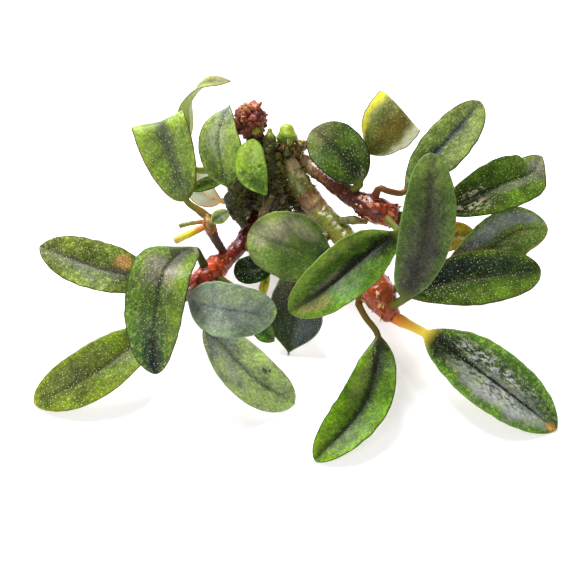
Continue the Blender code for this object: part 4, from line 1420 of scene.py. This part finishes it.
# The tan root goes on down to its pale tip
ROOT_LINK = ((-5.5, 12.7, 9.8), (-5.9, 12.5, 8.2), (-6.6, 12.2, 6.8), (-7.4, 12.0, 5.75), (-8.0, 11.9, 5.65))
CROWN_GRAINS, NODE_GRAINS, TUFTS, LONG_ROOTS, ROOT_HAIRS = 520, 220, 1900, 12, 26
LONG_ROOT_POINTS = 14
GRAINY_NODES = ("stump_left", "stump_right", "stump_right", "bud_round", "bud_narrow", "old_leaf_base")
QUARTERS = (0, 0.25, 0.5, 0.75, 1)
# The slot, the colours that a bit's shade picks from, its tip's colour and strength, and the roughness
GROWTH_LOOKS = {
    "crown_debris": ("crown_moss", "1c1208 44301a 664c20 66662a 3a4418", "8a7a3c", 0.4, 0.5),
    "crown_moss_tufts": ("crown_moss", "2a2a0e 445018 6a7c24 44341a 786624", "8a9a3c", 0.5, 0.55),
    "crown_roots": ("root_tan", "5a4420 7a5c34 a08054 5a5020 3a2c14 2c200f", "b8986a", 0.2, 0.6),
    "moss_crumb_grains": (
        "crumb_burgundy", "3c1018 5c1828 74243a 84303c a85440 cc9068", "b86c44", 0.35, 0.35,
    ),
    "moss_crumb_band": ("crumb_burgundy", "7a7a24 98982c 6a5a20 7a3028", "b0a850", 0.4, 0.4),
    "moss_crumb_tips": ("crumb_burgundy", "54141f 6c1f2c 8a3438 c07850 e4ac7c", "dca46c", 0.45, 0.4),
}


def grow_debris(draw):
    debris = Bits()
    for number in range(CROWN_GRAINS):
        height = CROWN_TOP.z * draw.uniform(0.02, 0.985)
        turn = draw.uniform(0, math.tau)
        spot = crown_spot(height, turn, draw.uniform(0.86, 0.97) + 0.08 * max(math.cos(turn), 0.0))[0]
        size = draw.choice((0.16, 0.24, 0.34, 0.5)) * (1.4 if math.cos(turn) > 0.6 else 1.0)
        debris.grain(spot, size, draw.random(), number, draw.uniform(0.6, 1.6), anywhere(draw))
    for number in range(NODE_GRAINS):
        name = draw.choice(GRAINY_NODES)
        share = draw.uniform(-0.2, 0.2) if name.startswith("bud") else draw.random()
        spot = stem_spot(name, share, draw.uniform(0, math.tau), draw.uniform(0.75, 0.95))[0]
        debris.grain(spot, draw.choice((0.2, 0.3, 0.45)), draw.random(), number, 1.0, anywhere(draw))
    return debris


def grow_moss(draw):
    moss = Bits()
    for _ in range(TUFTS):
        spot, out = tuft_place(draw)
        way = (out + anywhere(draw, 0.5) * 0.7).normalized()
        long = draw.uniform(0.3, 0.6) * (1 + max(out.x, 0.0))
        bend = anywhere(draw) * 0.3
        path = [spot + way * long * s + bend * s * s for s in (0.0, 0.35, 0.7, 1.0)]
        moss.strand(path, (0.08, 0.07, 0.055, 0.025), draw.random(), 4)
    return moss


def grow_roots(draw):
    """Roots that hang down the crown, hairs on the tan root, and the ties."""
    roots = Bits()
    for _ in range(LONG_ROOTS):
        angle = draw.uniform(math.pi * 0.9, math.tau * 1.02)
        top = CROWN_TOP.z * draw.uniform(0.55, 0.98)
        path = []
        for i in range(LONG_ROOT_POINTS):
            height = max(top - i * draw.uniform(0.3, 0.75), 0.4)
            angle += draw.uniform(-0.12, 0.12)
            path.append(crown_spot(height, angle, 0.95 + 0.05 * draw.random())[0])
        thick = draw.uniform(0.06, 0.13)
        radii = [thick * (1 - 0.5 * i / (LONG_ROOT_POINTS - 1)) for i in range(LONG_ROOT_POINTS)]
        roots.strand(path, radii, draw.random(), 7)
    for _ in range(ROOT_HAIRS):
        share = draw.uniform(0.0, 0.7)
        angle = draw.uniform(0, math.tau)
        steps = [(min(share + 0.07 * i, 1.0), angle + 0.25 * i) for i in range(5)]
        path = [stem_spot("root_tan", along, turn, 0.95)[0] for along, turn in steps]
        roots.strand(path, (0.13, 0.12, 0.11, 0.09, 0.05), draw.random(), 6)
    for name, last_share, heights, turns, count, thick in TIES:
        for _ in range(count):
            start = crown_spot(draw.uniform(*heights), draw.uniform(*turns), 0.9)[0]
            stop = stem_spot(name, draw.uniform(0.0, last_share), draw.uniform(0, math.tau), 0.6)[0]
            sag = Vector((0.0, 0.0, -draw.uniform(0.1, 0.7)))
            path = [start.lerp(stop, s) + sag * s * (1 - s) * 4 + anywhere(draw) * 0.06 for s in QUARTERS]
            roots.strand(path, [draw.uniform(0.4, 1.0) * thick] * 5, 0.55 + 0.45 * draw.random(), 5)
    roots.strand([Vector(p) for p in ROOT_LINK], (0.4, 0.38, 0.36, 0.4, 0.42), 0.3, 12)
    return roots


def build_crown_growth():
    draw = random.Random(11)
    growth = {"crown_debris": grow_debris, "crown_moss_tufts": grow_moss, "crown_roots": grow_roots}
    for name, grow in growth.items():
        grow(draw).piece(name, *GROWTH_LOOKS[name])


# Where scales sit: the stem, the shares of its length, how many, their size, and their colours
SCALES = (
    ("rhizome_upper_right", 0.72, 1.0, 60, 0.85, "c8481c d89850 a8301a d8a088 c86c20 9a2818 c88468"),
    ("rhizome_upper_right", 0.1, 0.7, 26, 0.4, "8a5a3c 6a3018 a8785a 4a1810"),
    ("rhizome_lower_right", 0.72, 1.0, 64, 0.9, "c04020 d8863c a02c14 d89c60 8a7a20 d8b898 c85c1c"),
    ("rhizome_lower_right", 0.08, 0.7, 26, 0.4, "9a9a58 7a6a38 b0a878 6a4020"),
    ("rhizome_left", 0.35, 1.0, 50, 0.7, "d85a20 e08840 a83018 e8a878 c04418"),
    ("rhizome_left", 0.0, 0.4, 16, 0.4, "6a1c1c 8a3024 4a1410"),
    ("shoot_left", 0.3, 1.0, 14, 0.4, "b86c34 7a4630 d09450 5a342c"),
    ("bud_round", 0.0, 0.55, 16, 1.1, "6a4a1c 8a8a24 7a3c18 a09030 5a6a18"),
    ("bud_narrow", 0.0, 0.5, 12, 0.9, "6a4a1c 7a7a20 6a3418 8a8a2c"),
    ("old_leaf_base", 0.0, 1.0, 26, 0.9, "7a5428 a8804c 8a4420 c8a878 5a4a1c"),
    ("stump_right", 0.0, 1.0, 18, 0.6, "4a4a1c 5a3a1c 6a3020 3a3a18"),
)


def build_scales():
    for number, (name, low, high, count, size, colours) in enumerate(SCALES):
        draw = random.Random(40 + number)
        bits = Bits()
        for k in range(count):
            spot, out, heading = stem_spot(name, draw.uniform(low, high), draw.uniform(0, math.tau), 0.97)
            along = heading * draw.choice((-1, 1)) + heading.cross(out) * draw.uniform(-0.9, 0.9)
            length = size * draw.uniform(0.6, 1.5)
            breadth = length * draw.uniform(0.12, 0.32)
            lift = size * draw.uniform(0.1, 0.5)
            bits.flake(spot, out, along.normalized(), length, breadth, lift, draw.random(), k)
        bits.piece(f"{name}_scales_{number}", SHAPES[name].stem.slot, colours, colours.split()[-1], 0.3, 0.35)


CRUMB_GRAINS, CRUMB_RAGS = 40, 260
CRUMB_BAND = (0.05, 0.28)  # the shares of the crumb between which its greenish band lies


def build_crumb():
    draw = random.Random(23)
    grains, band, rags = Bits(), Bits(), Bits()
    for number in range(CRUMB_GRAINS):
        share = draw.random()
        turn = draw.uniform(0, math.tau)
        spot, out, heading = stem_spot("moss_crumb", share, turn, draw.uniform(0.6, 0.85))
        size = draw.choice((0.4, 0.6, 0.8, 1.0))
        lie = out + heading * draw.uniform(-1, 1)
        pile = band if CRUMB_BAND[0] < share < CRUMB_BAND[1] and number % 2 else grains
        shade = 0.7 * share + 0.3 * draw.random()
        pile.grain(spot, size, shade, number, draw.uniform(0.5, 1.2), lie, 10, 12, 1.1)
    for number in range(CRUMB_RAGS):
        share = draw.random() ** 0.8
        turn = draw.uniform(0, math.tau)
        spot, out, _ = stem_spot("moss_crumb", share, turn, draw.uniform(0.6, 1.0))
        way = (out * 0.5 + anywhere(draw, 0.3)).normalized()
        long = draw.uniform(0.5, 1.2)
        shade = 0.7 * share + 0.3 * draw.random()
        if number % 5:
            across = way.cross(anywhere(draw)).normalized()
            rags.flake(spot, across, way, long * 1.3, long * draw.uniform(0.3, 0.6), 0.5, shade, number)
        else:
            path = [spot + way * long * s + anywhere(draw) * 0.08 for s in (0.0, 0.4, 0.75, 1.0)]
            rags.strand(path, (0.12, 0.1, 0.08, 0.03), shade)
    for name, pile in (("moss_crumb_grains", grains), ("moss_crumb_band", band), ("moss_crumb_tips", rags)):
        pile.piece(name, *GROWTH_LOOKS[name])


# The setting


def add_to_scene(name, data):
    made = bpy.data.objects.new(name, data)
    bpy.context.scene.collection.objects.link(made)
    return made


def make_floor():
    size = FLOOR_HALF_SIZE
    data = bpy.data.meshes.new("floor")
    corners = [(-size, -size, 0.0), (size, -size, 0.0), (size, size, 0.0), (-size, size, 0.0)]
    data.from_pydata(corners, [], [(0, 1, 2, 3)])
    material = bpy.data.materials.new("floor")
    material.use_nodes = True
    shader = material.node_tree.nodes["Principled BSDF"]
    shader.inputs["Base Color"].default_value = FLOOR_COLOUR
    shader.inputs["Roughness"].default_value = 0.9
    shader.inputs["Specular IOR Level"].default_value = 0.0
    shader.inputs["Emission Color"].default_value = FLOOR_GLOW
    shader.inputs["Emission Strength"].default_value = FLOOR_GLOW_STRENGTH
    data.materials.append(material)
    floor = add_to_scene("floor", data)


def make_light(name, place, size, power):
    data = bpy.data.lights.new(name, "AREA")
    data.shape = "SQUARE"
    data.size = size
    data.energy = power
    light = add_to_scene(name, data)
    light.location = place
    light.rotation_euler = (LIGHT_AIM - Vector(place)).to_track_quat("-Z", "Y").to_euler()


def make_camera():
    tilt = math.radians(ELEVATION)
    target = (TARGET + CENTRE_SHIFT) * MM
    away = Vector((0.0, -math.cos(tilt), math.sin(tilt)))
    data = bpy.data.cameras.new("camera")
    data.sensor_width = SENSOR
    data.lens = SENSOR * DISTANCE / (MM_PER_PIXEL * PICTURE_PIXELS)
    data.clip_start, data.clip_end = CLIP_METRES
    camera = add_to_scene("camera", data)
    camera.location = target + away * DISTANCE * MM
    camera.rotation_euler = (-away).to_track_quat("-Z", "Y").to_euler()
    bpy.context.scene.camera = camera


def make_world():
    world = bpy.data.worlds.new("world")
    world.use_nodes = True
    background = world.node_tree.nodes["Background"]
    background.inputs["Color"].default_value = (1.0, 1.0, 1.0, 1.0)
    background.inputs["Strength"].default_value = WORLD_STRENGTH
    bpy.context.scene.world = world


def main():
    for stem in STEMS:
        build_stem(stem)
    build_crown()
    for number, leaf in enumerate(LEAVES):
        build_leaf(leaf, number)
    build_crown_growth()
    build_scales()
    build_crumb()
    make_floor()
    for softbox in SOFTBOXES:
        make_light(*softbox)
    make_world()
    make_camera()
    bpy.context.scene.view_settings.view_transform = "Standard"


main()
